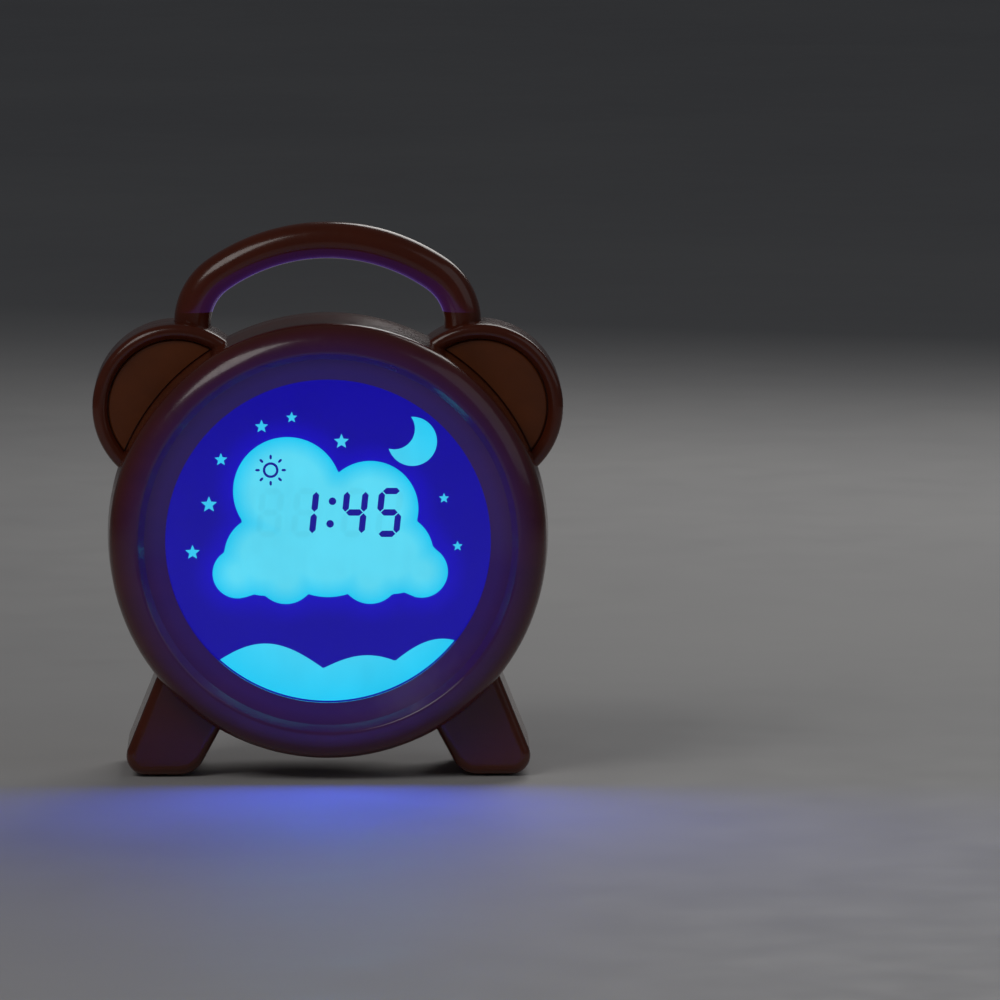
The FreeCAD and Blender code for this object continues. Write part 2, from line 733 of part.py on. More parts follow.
def key_cuts():
    """Holes for the round keys, the slide knob and the night-light button."""
    cuts = [rod(KEY_RADIUS + FIT_GAP, panel_back() - PAST, BODY_DEPTH, x, z) for _, (x, z) in key_places()]
    x, z = slider_place()
    cuts.append(block(SLIDER_LENGTH + SLIDER_TRAVEL + 2 * FIT_GAP, SLIDER_HEIGHT + 2 * FIT_GAP,
                      panel_back() - PAST, BODY_DEPTH, x, z, SLIDER_CORNER))
    cuts.append(slot_prism(TOP_BUTTON_LENGTH + 2 * FIT_GAP, TOP_BUTTON_WIDTH + 2 * FIT_GAP,
                           TOP_BOARD_Z, FAR, TOP_BUTTON_DEPTH))
    return cuts


def rear_housing(shell):
    """Rear half: key panel, grille, battery bay, screw tubes, posts and the top button's hole."""
    half = shell.common(slab(PARTING_DEPTH, BODY_DEPTH + PAST)).fuse(rear_additions())
    cuts = [panel_outline(PANEL_RADIUS, panel_floor(), BODY_DEPTH + PAST, PANEL_BOTTOM)]
    cuts.append(rod(SPEAKER_RADIUS + FIT_GAP, KEY_BOARD_DEPTH, panel_back(), 0.0, SPEAKER_Z))
    cuts += grille_slots() + screw_cuts() + bay_cuts() + key_cuts()
    return half.cut(cuts + foot_pads(PRESS_GAP)).removeSplitter()


def handle():
    """Arch of three tangent arcs, ending in grooved pegs."""
    span = HANDLE_HALF_SPAN
    end = HANDLE_END_RADIUS
    top = (span ** 2 - 2 * span * end + HANDLE_RISE ** 2) / (2 * (HANDLE_RISE - end))
    side_centre = vec(span - end, at(PARTING_DEPTH), up(HANDLE_BASE_Z))
    top_centre = vec(0, at(PARTING_DEPTH), up(HANDLE_BASE_Z + HANDLE_RISE - top))
    turn = math.atan2(side_centre.z - top_centre.z, side_centre.x)
    backward = vec(0, -1, 0)
    section = Part.Face(Part.Wire([Part.makeCircle(HANDLE_RADIUS, vec(span, side_centre.y, side_centre.z))]))
    side_arc = section.revolve(side_centre, backward, math.degrees(turn))
    section.rotate(side_centre, backward, math.degrees(turn))
    top_arc = section.revolve(top_centre, backward, 180 - 2 * math.degrees(turn))
    low = HANDLE_BASE_Z - PEG_LENGTH
    groove = low + PEG_GROOVE_FROM_END
    leg = post(HANDLE_RADIUS, low + FIT_GAP, HANDLE_BASE_Z, span, PARTING_DEPTH)
    ring = post(HANDLE_RADIUS + PAST, groove, groove + PEG_GROOVE_HEIGHT, span, PARTING_DEPTH)
    ring = ring.cut(post(PEG_GROOVE_RADIUS, low, HANDLE_BASE_Z, span, PARTING_DEPTH))
    leg = leg.cut(ring)
    return joined(top_arc, pair(side_arc) + pair(leg))


def pad_pegs():
    """Places of the two pegs of each ear pad, on the part of the pad clear of the body."""
    outward = math.degrees(math.atan2(EAR_Z, EAR_X))
    places = []
    for turn in (-PAD_PEG_SPREAD, PAD_PEG_SPREAD):
        x, z = on_circle(PAD_PEG_REACH, outward + turn)
        places.append((EAR_X + x, EAR_Z + z))
        places.append((-EAR_X - x, EAR_Z + z))
    return places


def ear_pad():
    """Right pad: a shallow crowned disc cut back to the round body, with two pegs behind."""
    radius = EAR_RADIUS - EAR_RIM - PAD_GAP
    front = PAD_SEAT_DEPTH - PAD_THICKNESS
    disc = rod(radius, front, PAD_SEAT_DEPTH, EAR_X, EAR_Z)
    edge = [e for e in disc.Edges if abs(e.BoundBox.YMax - at(front)) < 1e-4]
    disc = disc.makeFillet(PAD_THICKNESS / 3, edge)
    disc = disc.cut(rod(BODY_RADIUS + PAD_GAP, 0.0, BODY_DEPTH))
    pegs = [rod(PAD_PEG_RADIUS, front + PAST, PAD_SEAT_DEPTH + PAD_PEG_LENGTH, x, z)
            for x, z in pad_pegs() if x > 0]
    return joined(disc, pegs)


def display_window():
    return rod(WINDOW_RADIUS + WINDOW_LAP, WINDOW_SEAT_DEPTH, window_back())


def display_mask():
    start = window_back() + STACK_GAP
    return rod(WINDOW_RADIUS + WINDOW_LAP, start, start + MASK_THICKNESS)


def lcd_panel():
    return block(LCD_WIDTH, LCD_HEIGHT, lcd_front(), lcd_front() + LCD_THICKNESS)


def guide_radius():
    return WINDOW_RADIUS + WINDOW_LAP - FRAME_RIM - PAD_GAP


def led_block(angle, grow, depth, reach):
    """A light source at the rim of the guide, or its notch when it is grown."""
    radius = guide_radius() - LED_DEPTH / 2 - grow / 2
    box = Part.makeBox(LED_DEPTH + grow, reach - depth, LED_WIDTH + 2 * grow,
                       vec(radius - LED_DEPTH / 2 - grow / 2, at(depth), -LED_WIDTH / 2 - grow))
    box.rotate(vec(0, 0, 0), vec(0, -1, 0), angle)
    box.translate(vec(0, 0, AXIS_HEIGHT))
    return box


def light_guide():
    disc = rod(guide_radius(), guide_front(), guide_front() + GUIDE_THICKNESS)
    notches = [led_block(angle, LED_GAP, guide_front() - PAST, reflector_front()) for angle in LED_ANGLES]
    return disc.cut(notches)


def backlight_leds():
    lamps = [led_block(angle, 0.0, guide_front() + LED_FRONT, reflector_front()) for angle in LED_ANGLES]
    return Part.makeCompound(lamps)


def reflector_sheet():
    return rod(guide_radius(), reflector_front(), reflector_front() + REFLECTOR_THICKNESS)


def board_post_places():
    x = BOARD_WIDTH / 2 - BOARD_EDGE
    z = BOARD_HEIGHT / 2 - BOARD_EDGE
    return [(sx * x, sz * z) for sx in (-1, 1) for sz in (-1, 1)]


def display_frame():
    """Tray behind the window: a rim around the light guide, four ears and posts for the board."""
    outer = WINDOW_RADIUS + WINDOW_LAP
    start = window_back() + 2 * STACK_GAP + MASK_THICKNESS
    tray = rod(outer, start, frame_back())
    tray = tray.cut(rod(outer - FRAME_RIM, start, frame_floor()))
    ears = []
    holes = []
    for x, z in frame_post_places():
        ears.append(rod(FRAME_POST_RADIUS, frame_floor(), frame_back(), x, z))
        holes.append(rod(SMALL_SCREW_CORE + FIT_GAP, frame_floor() - PAST, frame_back() + PAST, x, z))
        angle = math.degrees(math.atan2(z, x))
        root = outer - FRAME_ARM_ROOT
        arm = Part.makeBox(FRAME_POST_CIRCLE - root, FRAME_FLOOR, 2 * FRAME_POST_RADIUS,
                           vec(root, at(frame_floor()), -FRAME_POST_RADIUS))
        arm.rotate(vec(0, 0, 0), vec(0, -1, 0), angle)
        arm.translate(vec(0, 0, AXIS_HEIGHT))
        ears.append(arm)
    for x, z in board_post_places():
        ears.append(rod(KEY_POST_RADIUS, frame_floor(), board_front(), x, z))
        holes.append(rod(SMALL_SCREW_CORE + PRESS_GAP, frame_back(), board_front() + PAST, x, z))
    return tray.fuse(ears).cut(holes).removeSplitter()


def screw_along_y(x, z, seat, grip, size, towards):
    """Screw whose head seats at a depth; towards is +1 when the shank points to the rear."""
    core, head, head_height = size
    if towards > 0:
        shank = rod(core, seat - HEAD_ROOT, seat + grip, x, z)
        return joined(rod(head, seat - head_height, seat, x, z), [shank])
    shank = rod(core, seat - grip, seat + HEAD_ROOT, x, z)
    return joined(rod(head, seat, seat + head_height, x, z), [shank])


def small_screw(x, z, seat, grip, towards):
    size = (SMALL_SCREW_CORE, SMALL_SCREW_HEAD, SMALL_SCREW_HEAD_HEIGHT)
    return screw_along_y(x, z, seat, grip, size, towards)


def frame_screws():
    grip = FRAME_FLOOR + SMALL_SCREW_GRIP - SMALL_SCREW_TIP_ROOM
    return Part.makeCompound([small_screw(x, z, frame_back(), grip, -1) for x, z in frame_post_places()])


def board_back():
    return board_front() + BOARD_THICKNESS


def main_board():
    plate = block(BOARD_WIDTH, BOARD_HEIGHT, board_front(), board_back(), corner=BOARD_CORNER)
    holes = [rod(SMALL_SCREW_CORE + FIT_GAP, board_front() - PAST, board_back() + PAST, x, z)
             for x, z in board_post_places()]
    return plate.cut(holes)


def main_board_parts():
    """Processor, two capacitors and the key board's connector on the back of the main board."""
    back = board_back()
    chip = block(CHIP_SIZE, CHIP_SIZE, back, back + CHIP_HEIGHT, *CHIP_PLACE)
    caps = [rod(CAPACITOR_RADIUS, back, back + CAPACITOR_HEIGHT, x, z) for x, z in CAPACITOR_PLACES]
    plug = block(PLUG_LENGTH, PLUG_SIZE, back, back + PLUG_SIZE, *PLUG_PLACE)
    return Part.makeCompound([chip, plug] + caps)


def main_board_screws():
    grip = BOARD_THICKNESS + BOARD_STANDOFF - SMALL_SCREW_TIP_ROOM
    return Part.makeCompound([small_screw(x, z, board_back(), grip, -1) for x, z in board_post_places()])


def housing_screws():
    grip = SCREW_SEAT_DEPTH - PARTING_DEPTH + SCREW_GRIP - SCREW_TIP_ROOM
    size = (SCREW_CORE, SCREW_HEAD, SCREW_HEAD_HEIGHT)
    screws = [screw_along_y(x, z, SCREW_SEAT_DEPTH, grip, size, -1) for x, z in screw_places()]
    return Part.makeCompound(screws)


def key_button(x, z):
    """Round key: a crowned cap, a flange behind the panel and a stem towards its switch."""
    front = panel_floor() + KEY_PROUD
    flange = panel_back() - STOP_GAP
    cap = rod(KEY_RADIUS, flange - KEY_FLANGE_THICKNESS / 2, front, x, z)
    edge = [e for e in cap.Edges if abs(e.BoundBox.YMin - at(front)) < 1e-4]
    cap = cap.makeFillet(KEY_PROUD / 2, edge)
    rim = rod(KEY_RADIUS + KEY_FLANGE_WIDTH, flange - KEY_FLANGE_THICKNESS, flange, x, z)
    stem = rod(KEY_STEM_RADIUS, switch_top() + KEY_TRAVEL + STOP_GAP, flange, x, z)
    return joined(cap, [rim, stem])


def switch_base():
    return KEY_BOARD_DEPTH + BOARD_THICKNESS


def switch_top():
    return switch_base() + SWITCH_HEIGHT + PLUNGER_HEIGHT


def key_board():
    """U-shaped board around the speaker."""
    top = KEY_ROWS[0] + KEY_BOARD_END
    bottom = KEY_ROWS[2] - KEY_BOARD_END
    start = KEY_BOARD_DEPTH - PAST
    reach = switch_base() + PAST
    plate = block(2 * (KEY_X + KEY_BOARD_SIDE), top - bottom, KEY_BOARD_DEPTH, switch_base(), 0.0,
                  (top + bottom) / 2, BOARD_CORNER)
    notch_radius = SPEAKER_RADIUS + KEY_BOARD_NOTCH_GAP
    notch = rod(notch_radius, start, reach, 0.0, SPEAKER_Z)
    gate = block(2 * (notch_radius - KEY_BOARD_ARM_LAP), FAR, start, reach, 0.0, SPEAKER_Z + FAR / 2)
    holes = [rod(SMALL_SCREW_CORE + FIT_GAP, start, reach, x, z) for x, z in key_post_places()]
    return plate.cut([notch, gate] + holes)


def key_switches():
    """Push switches on the key board, one under each key."""
    pieces = []
    for _, (x, z) in key_places():
        case = block(SWITCH_SIZE, SWITCH_SIZE, switch_base(), switch_base() + SWITCH_HEIGHT, x, z)
        pieces.append(joined(case, [rod(PLUNGER_RADIUS, switch_base() + PAST, switch_top(), x, z)]))
    return Part.makeCompound(pieces)


def key_board_screws():
    grip = BOARD_THICKNESS + SMALL_SCREW_GRIP - SMALL_SCREW_TIP_ROOM
    return Part.makeCompound([small_screw(x, z, KEY_BOARD_DEPTH, grip, 1) for x, z in key_post_places()])


def alarm_switch_body():
    x, z = slider_place()
    base = switch_base()
    return block(SLIDER_BODY_LENGTH, SLIDER_BODY_HEIGHT, base, base + SLIDER_BODY_DEPTH, x, z)


def alarm_switch_knob():
    """Slide knob with three grip grooves, resting at the left end of its slot."""
    x, z = slider_place()
    x -= SLIDER_TRAVEL / 2
    flange = panel_back() - STOP_GAP
    front = panel_floor() + KEY_PROUD
    inner = flange - KEY_FLANGE_THICKNESS
    cap = block(SLIDER_LENGTH, SLIDER_HEIGHT, (inner + flange) / 2, front, x, z, SLIDER_CORNER)
    cap = cap.cut([block(SLIDER_GROOVE, SLIDER_HEIGHT + PAST, front - SLIDER_GROOVE_DEPTH, front + PAST,
                         x + SLIDER_GROOVE_PITCH * n, z) for n in (-1, 0, 1)])
    rim = block(SLIDER_FLANGE_LENGTH, SLIDER_FLANGE_HEIGHT, inner, flange, x, z)
    stem = block(*SLIDER_STEM, switch_base() + SLIDER_BODY_DEPTH + STOP_GAP, flange, x, z)
    return joined(cap, [rim, stem])


def speaker_taper(inner_radius, outer_radius, depth, reach):
    """Cone about the speaker's axis that widens to the rear."""
    start = vec(0, at(depth), up(SPEAKER_Z))
    return Part.makeCone(inner_radius, outer_radius, reach - depth, start, vec(0, 1, 0))


def cone_seat():
    """Depth of the step in the speaker's flange that carries the rim of the cone."""
    return panel_back() - STACK_GAP - CONE_SEAT


def speaker_frame():
    """Pressed basket with a flat flange, a step for the cone's rim and the magnet at its back."""
    flange_back = panel_back() - SPEAKER_FLANGE
    flange_front = panel_back() - STACK_GAP
    magnet_back = panel_back() - SPEAKER_DEPTH
    magnet_front = magnet_back + MAGNET_HEIGHT
    flange = rod(SPEAKER_RADIUS, flange_back, flange_front, 0.0, SPEAKER_Z)
    bowl = speaker_taper(MAGNET_RADIUS + BASKET_WALL, CONE_RADIUS + BASKET_WALL, magnet_front, flange_back)
    magnet = rod(MAGNET_RADIUS, magnet_back, magnet_front + BASKET_FLOOR, 0.0, SPEAKER_Z)
    hollow = speaker_taper(MAGNET_RADIUS, CONE_RADIUS, magnet_front + BASKET_FLOOR, flange_back)
    throat = rod(CONE_RADIUS, flange_back, panel_back(), 0.0, SPEAKER_Z)
    step = rod(CONE_RADIUS + CONE_SEAT_LAP, cone_seat(), panel_back(), 0.0, SPEAKER_Z)
    return flange.fuse([bowl, magnet]).cut([hollow, throat, step]).removeSplitter()


def speaker_cone():
    """Paper cone with a dust cap and a flat rim that lies on the step of the basket."""
    rim_back = cone_seat() + STACK_GAP
    rim_front = rim_back + CONE_THICKNESS
    bottom = rim_front - CONE_DEPTH
    outer = speaker_taper(DUST_CAP_RADIUS, CONE_RADIUS - CONE_SEAT_LAP, bottom, rim_front)
    inner = outer.copy()
    inner.translate(vec(0, CONE_THICKNESS, 0))
    rim = rod(CONE_RADIUS + CONE_SEAT_LAP - FIT_GAP, rim_back, rim_front, 0.0, SPEAKER_Z)
    rim = rim.cut(rod(CONE_RADIUS - SURROUND_LAP, rim_back - PAST, rim_front + PAST, 0.0, SPEAKER_Z))
    cap = rod(DUST_CAP_RADIUS, bottom, bottom + DUST_CAP_HEIGHT, 0.0, SPEAKER_Z)
    return joined(outer.cut(inner), [rim, cap])


def speaker_ring():
    """Clamp ring behind the speaker flange, with an ear at each side."""
    back = speaker_post_start()
    front = back - RING_THICKNESS
    disc = rod(SPEAKER_RADIUS + SPEAKER_RING_LAP, front, back, 0.0, SPEAKER_Z)
    bar = block(2 * SPEAKER_POST_X, 2 * KEY_POST_RADIUS, front, back, 0.0, SPEAKER_Z)
    ears = [rod(KEY_POST_RADIUS, front, back, x, z) for x, z in speaker_posts()]
    holes = [rod(SMALL_SCREW_CORE + FIT_GAP, front - PAST, back + PAST, x, z) for x, z in speaker_posts()]
    holes.append(rod(CONE_RADIUS + SPEAKER_RING_HOLE, front - PAST, back + PAST, 0.0, SPEAKER_Z))
    return joined(disc, [bar] + ears).cut(holes)


def speaker_screws():
    seat = speaker_post_start() - RING_THICKNESS
    return Part.makeCompound([small_screw(x, z, seat, SPEAKER_SCREW_GRIP, 1) for x, z in speaker_posts()])


def door_axis():
    """Depth and height of the line on which the battery door turns."""
    return door_seat() + DOOR_THICKNESS / 2, BAY_Z - door_size()[1] / 2 + DOOR_GAP + DOOR_THICKNESS / 2


def door_pins(grow=0.0, length=DOOR_PIN_LENGTH):
    """The two pins at the bottom corners of the battery door, or their bores when grown."""
    depth, height = door_axis()
    half = door_size()[0] / 2 - DOOR_GAP
    pin = Part.makeCylinder(DOOR_PIN_RADIUS + grow, length + PAST, vec(half - PAST, at(depth), up(height)),
                            vec(1, 0, 0))
    return Part.makeCompound(pair(pin))


def battery_door():
    """Lid with a round lower edge and pins, a tongue at the top and a finger notch."""
    width, tall = door_size()
    width -= 2 * DOOR_GAP
    depth, height = door_axis()
    top = BAY_Z + tall / 2 - DOOR_GAP
    plate = block(width, top - height, door_seat(), BODY_DEPTH, 0.0, (top + height) / 2)
    edge = Part.makeCylinder(DOOR_THICKNESS / 2, width, vec(-width / 2, at(depth), up(height)), vec(1, 0, 0))
    tongue = block(DOOR_TONGUE_WIDTH - 2 * DOOR_GAP, DOOR_TONGUE_REACH + DOOR_GAP, door_seat(),
                   BODY_DEPTH - DOOR_TONGUE_STEP, 0.0, top + DOOR_TONGUE_REACH / 2 - DOOR_GAP)
    lid = plate.fuse([edge, tongue] + door_pins().Solids)
    notch = rod(FINGER_NOTCH_RADIUS, BODY_DEPTH - FINGER_NOTCH_DEPTH, BODY_DEPTH + PAST, 0.0, top)
    return lid.cut(notch).removeSplitter()


def cell_depth():
    """Depth of the cells' axes."""
    return bay_floor() + CELL_RADIUS + FIT_GAP


def cell_rows():
    """Side on which each cell has its nub, and its height; the middle cell is turned round."""
    middle = (CELL_COUNT - 1) / 2
    return [(1 if row % 2 == 0 else -1, BAY_Z + (row - middle) * CELL_PITCH) for row in range(CELL_COUNT)]


def battery_cell(side, height):
    """One cell with its nub towards a side."""
    y = at(cell_depth())
    nub_start = side * (bay_width() / 2 - CONTACT_THICKNESS - STACK_GAP - CELL_NUB_LENGTH)
    can_end = nub_start - side * CELL_LENGTH
    start = vec(min(nub_start, can_end), y, up(height))
    can = Part.makeCylinder(CELL_RADIUS, CELL_LENGTH, start, vec(1, 0, 0))
    can = can.makeFillet(CELL_ROUND, [e for e in can.Edges if e.Curve.TypeId == "Part::GeomCircle"])
    nub = Part.makeCylinder(CELL_NUB_RADIUS, CELL_NUB_LENGTH + CELL_NUB_ROOT,
                            vec(nub_start - side * CELL_NUB_ROOT, y, up(height)), vec(side, 0, 0))
    return joined(can, [nub])


def battery_cells():
    return Part.makeCompound([battery_cell(side, height) for side, height in cell_rows()])


def contact_plate(side, height):
    x = side * (bay_width() / 2 - CONTACT_THICKNESS / 2)
    start = cell_depth() - CONTACT_TALL / 2
    return block(CONTACT_THICKNESS, CONTACT_WIDTH, start, start + CONTACT_TALL, x, height)


def battery_plates():
    """Flat contacts at the nub end of each cell."""
    return Part.makeCompound([contact_plate(side, height) for side, height in cell_rows()])


def battery_spring(side, height):
    """Coil contact on its plate, at the flat end of a cell."""
    length = SPRING_LENGTH - 2 * SPRING_WIRE
    helix = Part.makeHelix(length / SPRING_TURNS, length, SPRING_BASE_RADIUS, SPRING_TAPER)
    start = helix.Edges[0].Vertexes[0].Point
    circle = Part.Wire([Part.makeCircle(SPRING_WIRE, start, vec(0, 1, 0))])
    coil = Part.Wire(helix.Edges).makePipeShell([circle], True, True)
    coil.rotate(vec(0, 0, 0), vec(0, 1, 0), -90 * side)
    base = side * (bay_width() / 2 - CONTACT_THICKNESS - SPRING_WIRE + PRESS_GAP)
    coil.translate(vec(base, at(cell_depth()), up(height)))
    return contact_plate(side, height).fuse(coil)


def battery_springs():
    springs = [battery_spring(-side, height) for side, height in cell_rows()]
    return Part.makeCompound([solid for spring in springs for solid in spring.Solids])


def top_button():
    """Night-light key set in the top of the body, its skin following the round of the body."""
    low = TOP_BUTTON_FLANGE_Z
    skin = 2 * TOP_BUTTON_SKIN
    lap = 2 * TOP_BUTTON_FLANGE_LAP
    under_skin = body_form(TOP_BUTTON_SKIN / 2)
    cap = slot_prism(TOP_BUTTON_LENGTH, TOP_BUTTON_WIDTH, low, FAR / 2, TOP_BUTTON_DEPTH).common(body_form())
    hollow = slot_prism(TOP_BUTTON_LENGTH - skin, TOP_BUTTON_WIDTH - skin, low - PAST, FAR / 2,
                        TOP_BUTTON_DEPTH)
    cap = cap.cut(hollow.common(body_form(TOP_BUTTON_SKIN)))
    flange = slot_prism(TOP_BUTTON_LENGTH + lap, TOP_BUTTON_WIDTH + lap, low, low + TOP_BUTTON_FLANGE,
                        TOP_BUTTON_DEPTH).cut(hollow)
    stem_low = top_switch_top() + TOP_BUTTON_TRAVEL + STOP_GAP
    stem = post(TOP_BUTTON_STEM_RADIUS, stem_low, BODY_RADIUS, 0.0, TOP_BUTTON_DEPTH).common(under_skin)
    rib_length = TOP_BUTTON_LENGTH - TOP_BUTTON_SKIN
    rib = Part.makeBox(rib_length, TOP_BUTTON_RIB, BODY_RADIUS - low,
                       vec(-rib_length / 2, at(TOP_BUTTON_DEPTH) - TOP_BUTTON_RIB / 2, up(low)))
    return joined(cap, [flange, stem, rib.common(under_skin)])


def top_board_back():
    return TOP_BOARD_Z + BOARD_THICKNESS


def top_switch_top():
    return top_board_back() + SWITCH_HEIGHT + PLUNGER_HEIGHT


def light_switch():
    """Push switch under the night-light button."""
    base = top_board_back()
    case = Part.makeBox(SWITCH_SIZE, SWITCH_SIZE, SWITCH_HEIGHT,
                        vec(-SWITCH_SIZE / 2, at(TOP_BUTTON_DEPTH) - SWITCH_SIZE / 2, up(base)))
    return joined(case, [post(PLUNGER_RADIUS, base + PAST, top_switch_top(), 0.0, TOP_BUTTON_DEPTH)])


def light_switch_board():
    plate = Part.makeBox(TOP_BOARD_LENGTH, TOP_BOARD_WIDTH, BOARD_THICKNESS,
                         vec(-TOP_BOARD_LENGTH / 2, at(TOP_BUTTON_DEPTH) - TOP_BOARD_WIDTH / 2,
                             up(TOP_BOARD_Z)))
    holes = [post(SMALL_SCREW_CORE + FIT_GAP, TOP_BOARD_Z - PAST, top_board_back() + PAST, side * TOP_POST_X,
                  TOP_BUTTON_DEPTH) for side in (-1, 1)]
    return plate.cut(holes)


def light_switch_screws():
    screws = []
    for side in (-1, 1):
        x = side * TOP_POST_X
        head = post(SMALL_SCREW_HEAD, TOP_BOARD_Z - SMALL_SCREW_HEAD_HEIGHT, TOP_BOARD_Z, x, TOP_BUTTON_DEPTH)
        tip = top_board_back() + SMALL_SCREW_GRIP - SMALL_SCREW_TIP_ROOM
        shank = post(SMALL_SCREW_CORE, TOP_BOARD_Z - HEAD_ROOT, tip, x, TOP_BUTTON_DEPTH)
        screws.append(joined(head, [shank]))
    return Part.makeCompound(screws)


def save(name, shape):
    solids = shape.Solids
    if len(solids) == 1:
        shape = solids[0]
    shape.exportStep(os.path.join("parts", name + ".step"))
    print(name, "solids", len(solids), "valid", shape.isValid(), "volume", round(shape.Volume, 1))


def main():
    os.makedirs("parts", exist_ok=True)
    shell = whole_shell()
    save("front_housing", front_housing(shell))
    save("rear_housing", rear_housing(shell))
    save("handle", handle())
    save("ear_pad_right", ear_pad())
    save("ear_pad_left", mirrored(ear_pad()))
    save("display_window", display_window())
    save("display_mask", display_mask())
    save("lcd_panel", lcd_panel())
    save("light_guide", light_guide())
    save("reflector_sheet", reflector_sheet())
    save("backlight_leds", backlight_leds())
    save("display_frame", display_frame())
    save("frame_screws", frame_screws())
    save("main_board", main_board())
    save("main_board_parts", main_board_parts())
    save("main_board_screws", main_board_screws())
    for name, (x, z) in key_places():
        save(name, key_button(x, z))
    save("alarm_switch_knob", alarm_switch_knob())
    save("alarm_switch_body", alarm_switch_body())
    save("key_board", key_board())
    save("key_switches", key_switches())
    save("key_board_screws", key_board_screws())
    save("speaker_frame", speaker_frame())
    save("speaker_cone", speaker_cone())
    save("speaker_ring", speaker_ring())
    save("speaker_screws", speaker_screws())
    save("battery_door", battery_door())
    save("battery_cells", battery_cells())
    save("battery_springs", battery_springs())
    save("battery_plates", battery_plates())
    save("light_button", top_button())
    save("light_switch", light_switch())
    save("light_switch_board", light_switch_board())
    save("light_switch_screws", light_switch_screws())
    save("foot_pads", Part.makeCompound(foot_pads()))
    save("housing_screws", housing_screws())


main()
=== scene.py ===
"""Finish, lit display and studio for the child's bedside alarm clock. Metres, in the clock's own frame."""
import math
import random

import bmesh
import bpy
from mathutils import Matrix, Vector


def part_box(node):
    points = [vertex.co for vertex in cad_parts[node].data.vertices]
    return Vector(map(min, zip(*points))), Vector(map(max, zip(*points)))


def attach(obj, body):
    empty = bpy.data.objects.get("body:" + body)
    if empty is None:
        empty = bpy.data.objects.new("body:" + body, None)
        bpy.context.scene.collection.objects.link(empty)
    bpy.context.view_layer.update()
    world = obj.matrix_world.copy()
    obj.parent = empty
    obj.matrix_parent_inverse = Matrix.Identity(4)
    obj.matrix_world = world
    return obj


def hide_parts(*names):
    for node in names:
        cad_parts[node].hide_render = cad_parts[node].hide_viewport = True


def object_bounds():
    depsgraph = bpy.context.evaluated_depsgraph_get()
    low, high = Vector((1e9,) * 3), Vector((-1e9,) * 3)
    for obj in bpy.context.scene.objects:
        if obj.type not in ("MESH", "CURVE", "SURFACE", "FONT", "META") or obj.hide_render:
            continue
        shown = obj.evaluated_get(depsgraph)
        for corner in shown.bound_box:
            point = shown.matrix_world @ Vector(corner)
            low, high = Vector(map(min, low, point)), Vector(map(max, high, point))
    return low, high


bl_info = {
    "name": "Bedside Clock Finish",
    "version": (1, 0, 0),
    "blender": (4, 5, 0),
    "location": "3D View > Sidebar > Clock",
    "description": "Finishes the housings, the lit display, the keys and the studio of a child's alarm clock",
    "category": "Object",
}

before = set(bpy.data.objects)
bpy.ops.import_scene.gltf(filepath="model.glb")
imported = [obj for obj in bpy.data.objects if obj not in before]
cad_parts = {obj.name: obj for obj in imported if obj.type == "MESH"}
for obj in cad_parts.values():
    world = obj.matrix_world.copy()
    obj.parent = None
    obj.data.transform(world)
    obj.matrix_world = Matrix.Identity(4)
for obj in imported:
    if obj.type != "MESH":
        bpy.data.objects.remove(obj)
cad_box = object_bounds()

MM = 0.001
IMAGE_SIZE = 1000
ROOT = "clock_body"

# Places that the clock's own solids give
window_low, window_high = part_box("display_window")
AXIS_Z = (window_low.z + window_high.z) / 2
WINDOW_R = (window_high.x - window_low.x) / 2
FILM_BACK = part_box("display_mask")[1].y
FRONT_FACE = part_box("front_housing")[0].y
PARTING_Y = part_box("front_housing")[1].y
REAR_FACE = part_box("rear_housing")[1].y
CELL_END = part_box("battery_cells")[1].x

# Lit display
OPENING_R = 53.7 * MM
FILM_THICKNESS = 0.12 * MM
LAYER_SHARE = 0.8
GLOW_RIM = (0.006, 0.64, 1.0)
GLOW_EDGE = 6.0 * MM
HALO_START, HALO_END = -0.5 * MM, 7.0 * MM
LOBE_BLEND = 4.0 * MM
CLOUD_LOBES = ((0.0, 2.0, 21.0), (-21.0, -5.0, 13.5), (21.5, -4.5, 13.5), (-13.5, 16.5, 18.0),
               (14.0, 10.5, 16.0), (-30.0, -11.0, 8.4), (31.0, -10.5, 8.8), (-14.0, -11.5, 9.8),
               (14.0, -11.5, 9.8))
CLOUD_POINTS = 220

# Moulded housings
SEAM_DARK, SEAM_CLEAR = 0.12 * MM, 0.2 * MM
# Painted glow: blue emission on the front housing next to the window, fading outward and backward, in place
# of the display's spill light
PAINTED_GLOW_COLOUR = (0.002, 0.005, 0.075)
PAINTED_GLOW_REACH = 1.28
PAINTED_GLOW_DEPTH, PAINTED_GLOW_END = 12 * MM, 16 * MM
SMOOTH_ANGLE = math.radians(35.0)

# Marks
MARK_SINK = 0.01 * MM
PRINT_THICKNESS = 0.06 * MM

# Colour sockets of a Mix node
MIX_FACTOR, MIX_A, MIX_B, MIX_RESULT = 0, 6, 7, 2


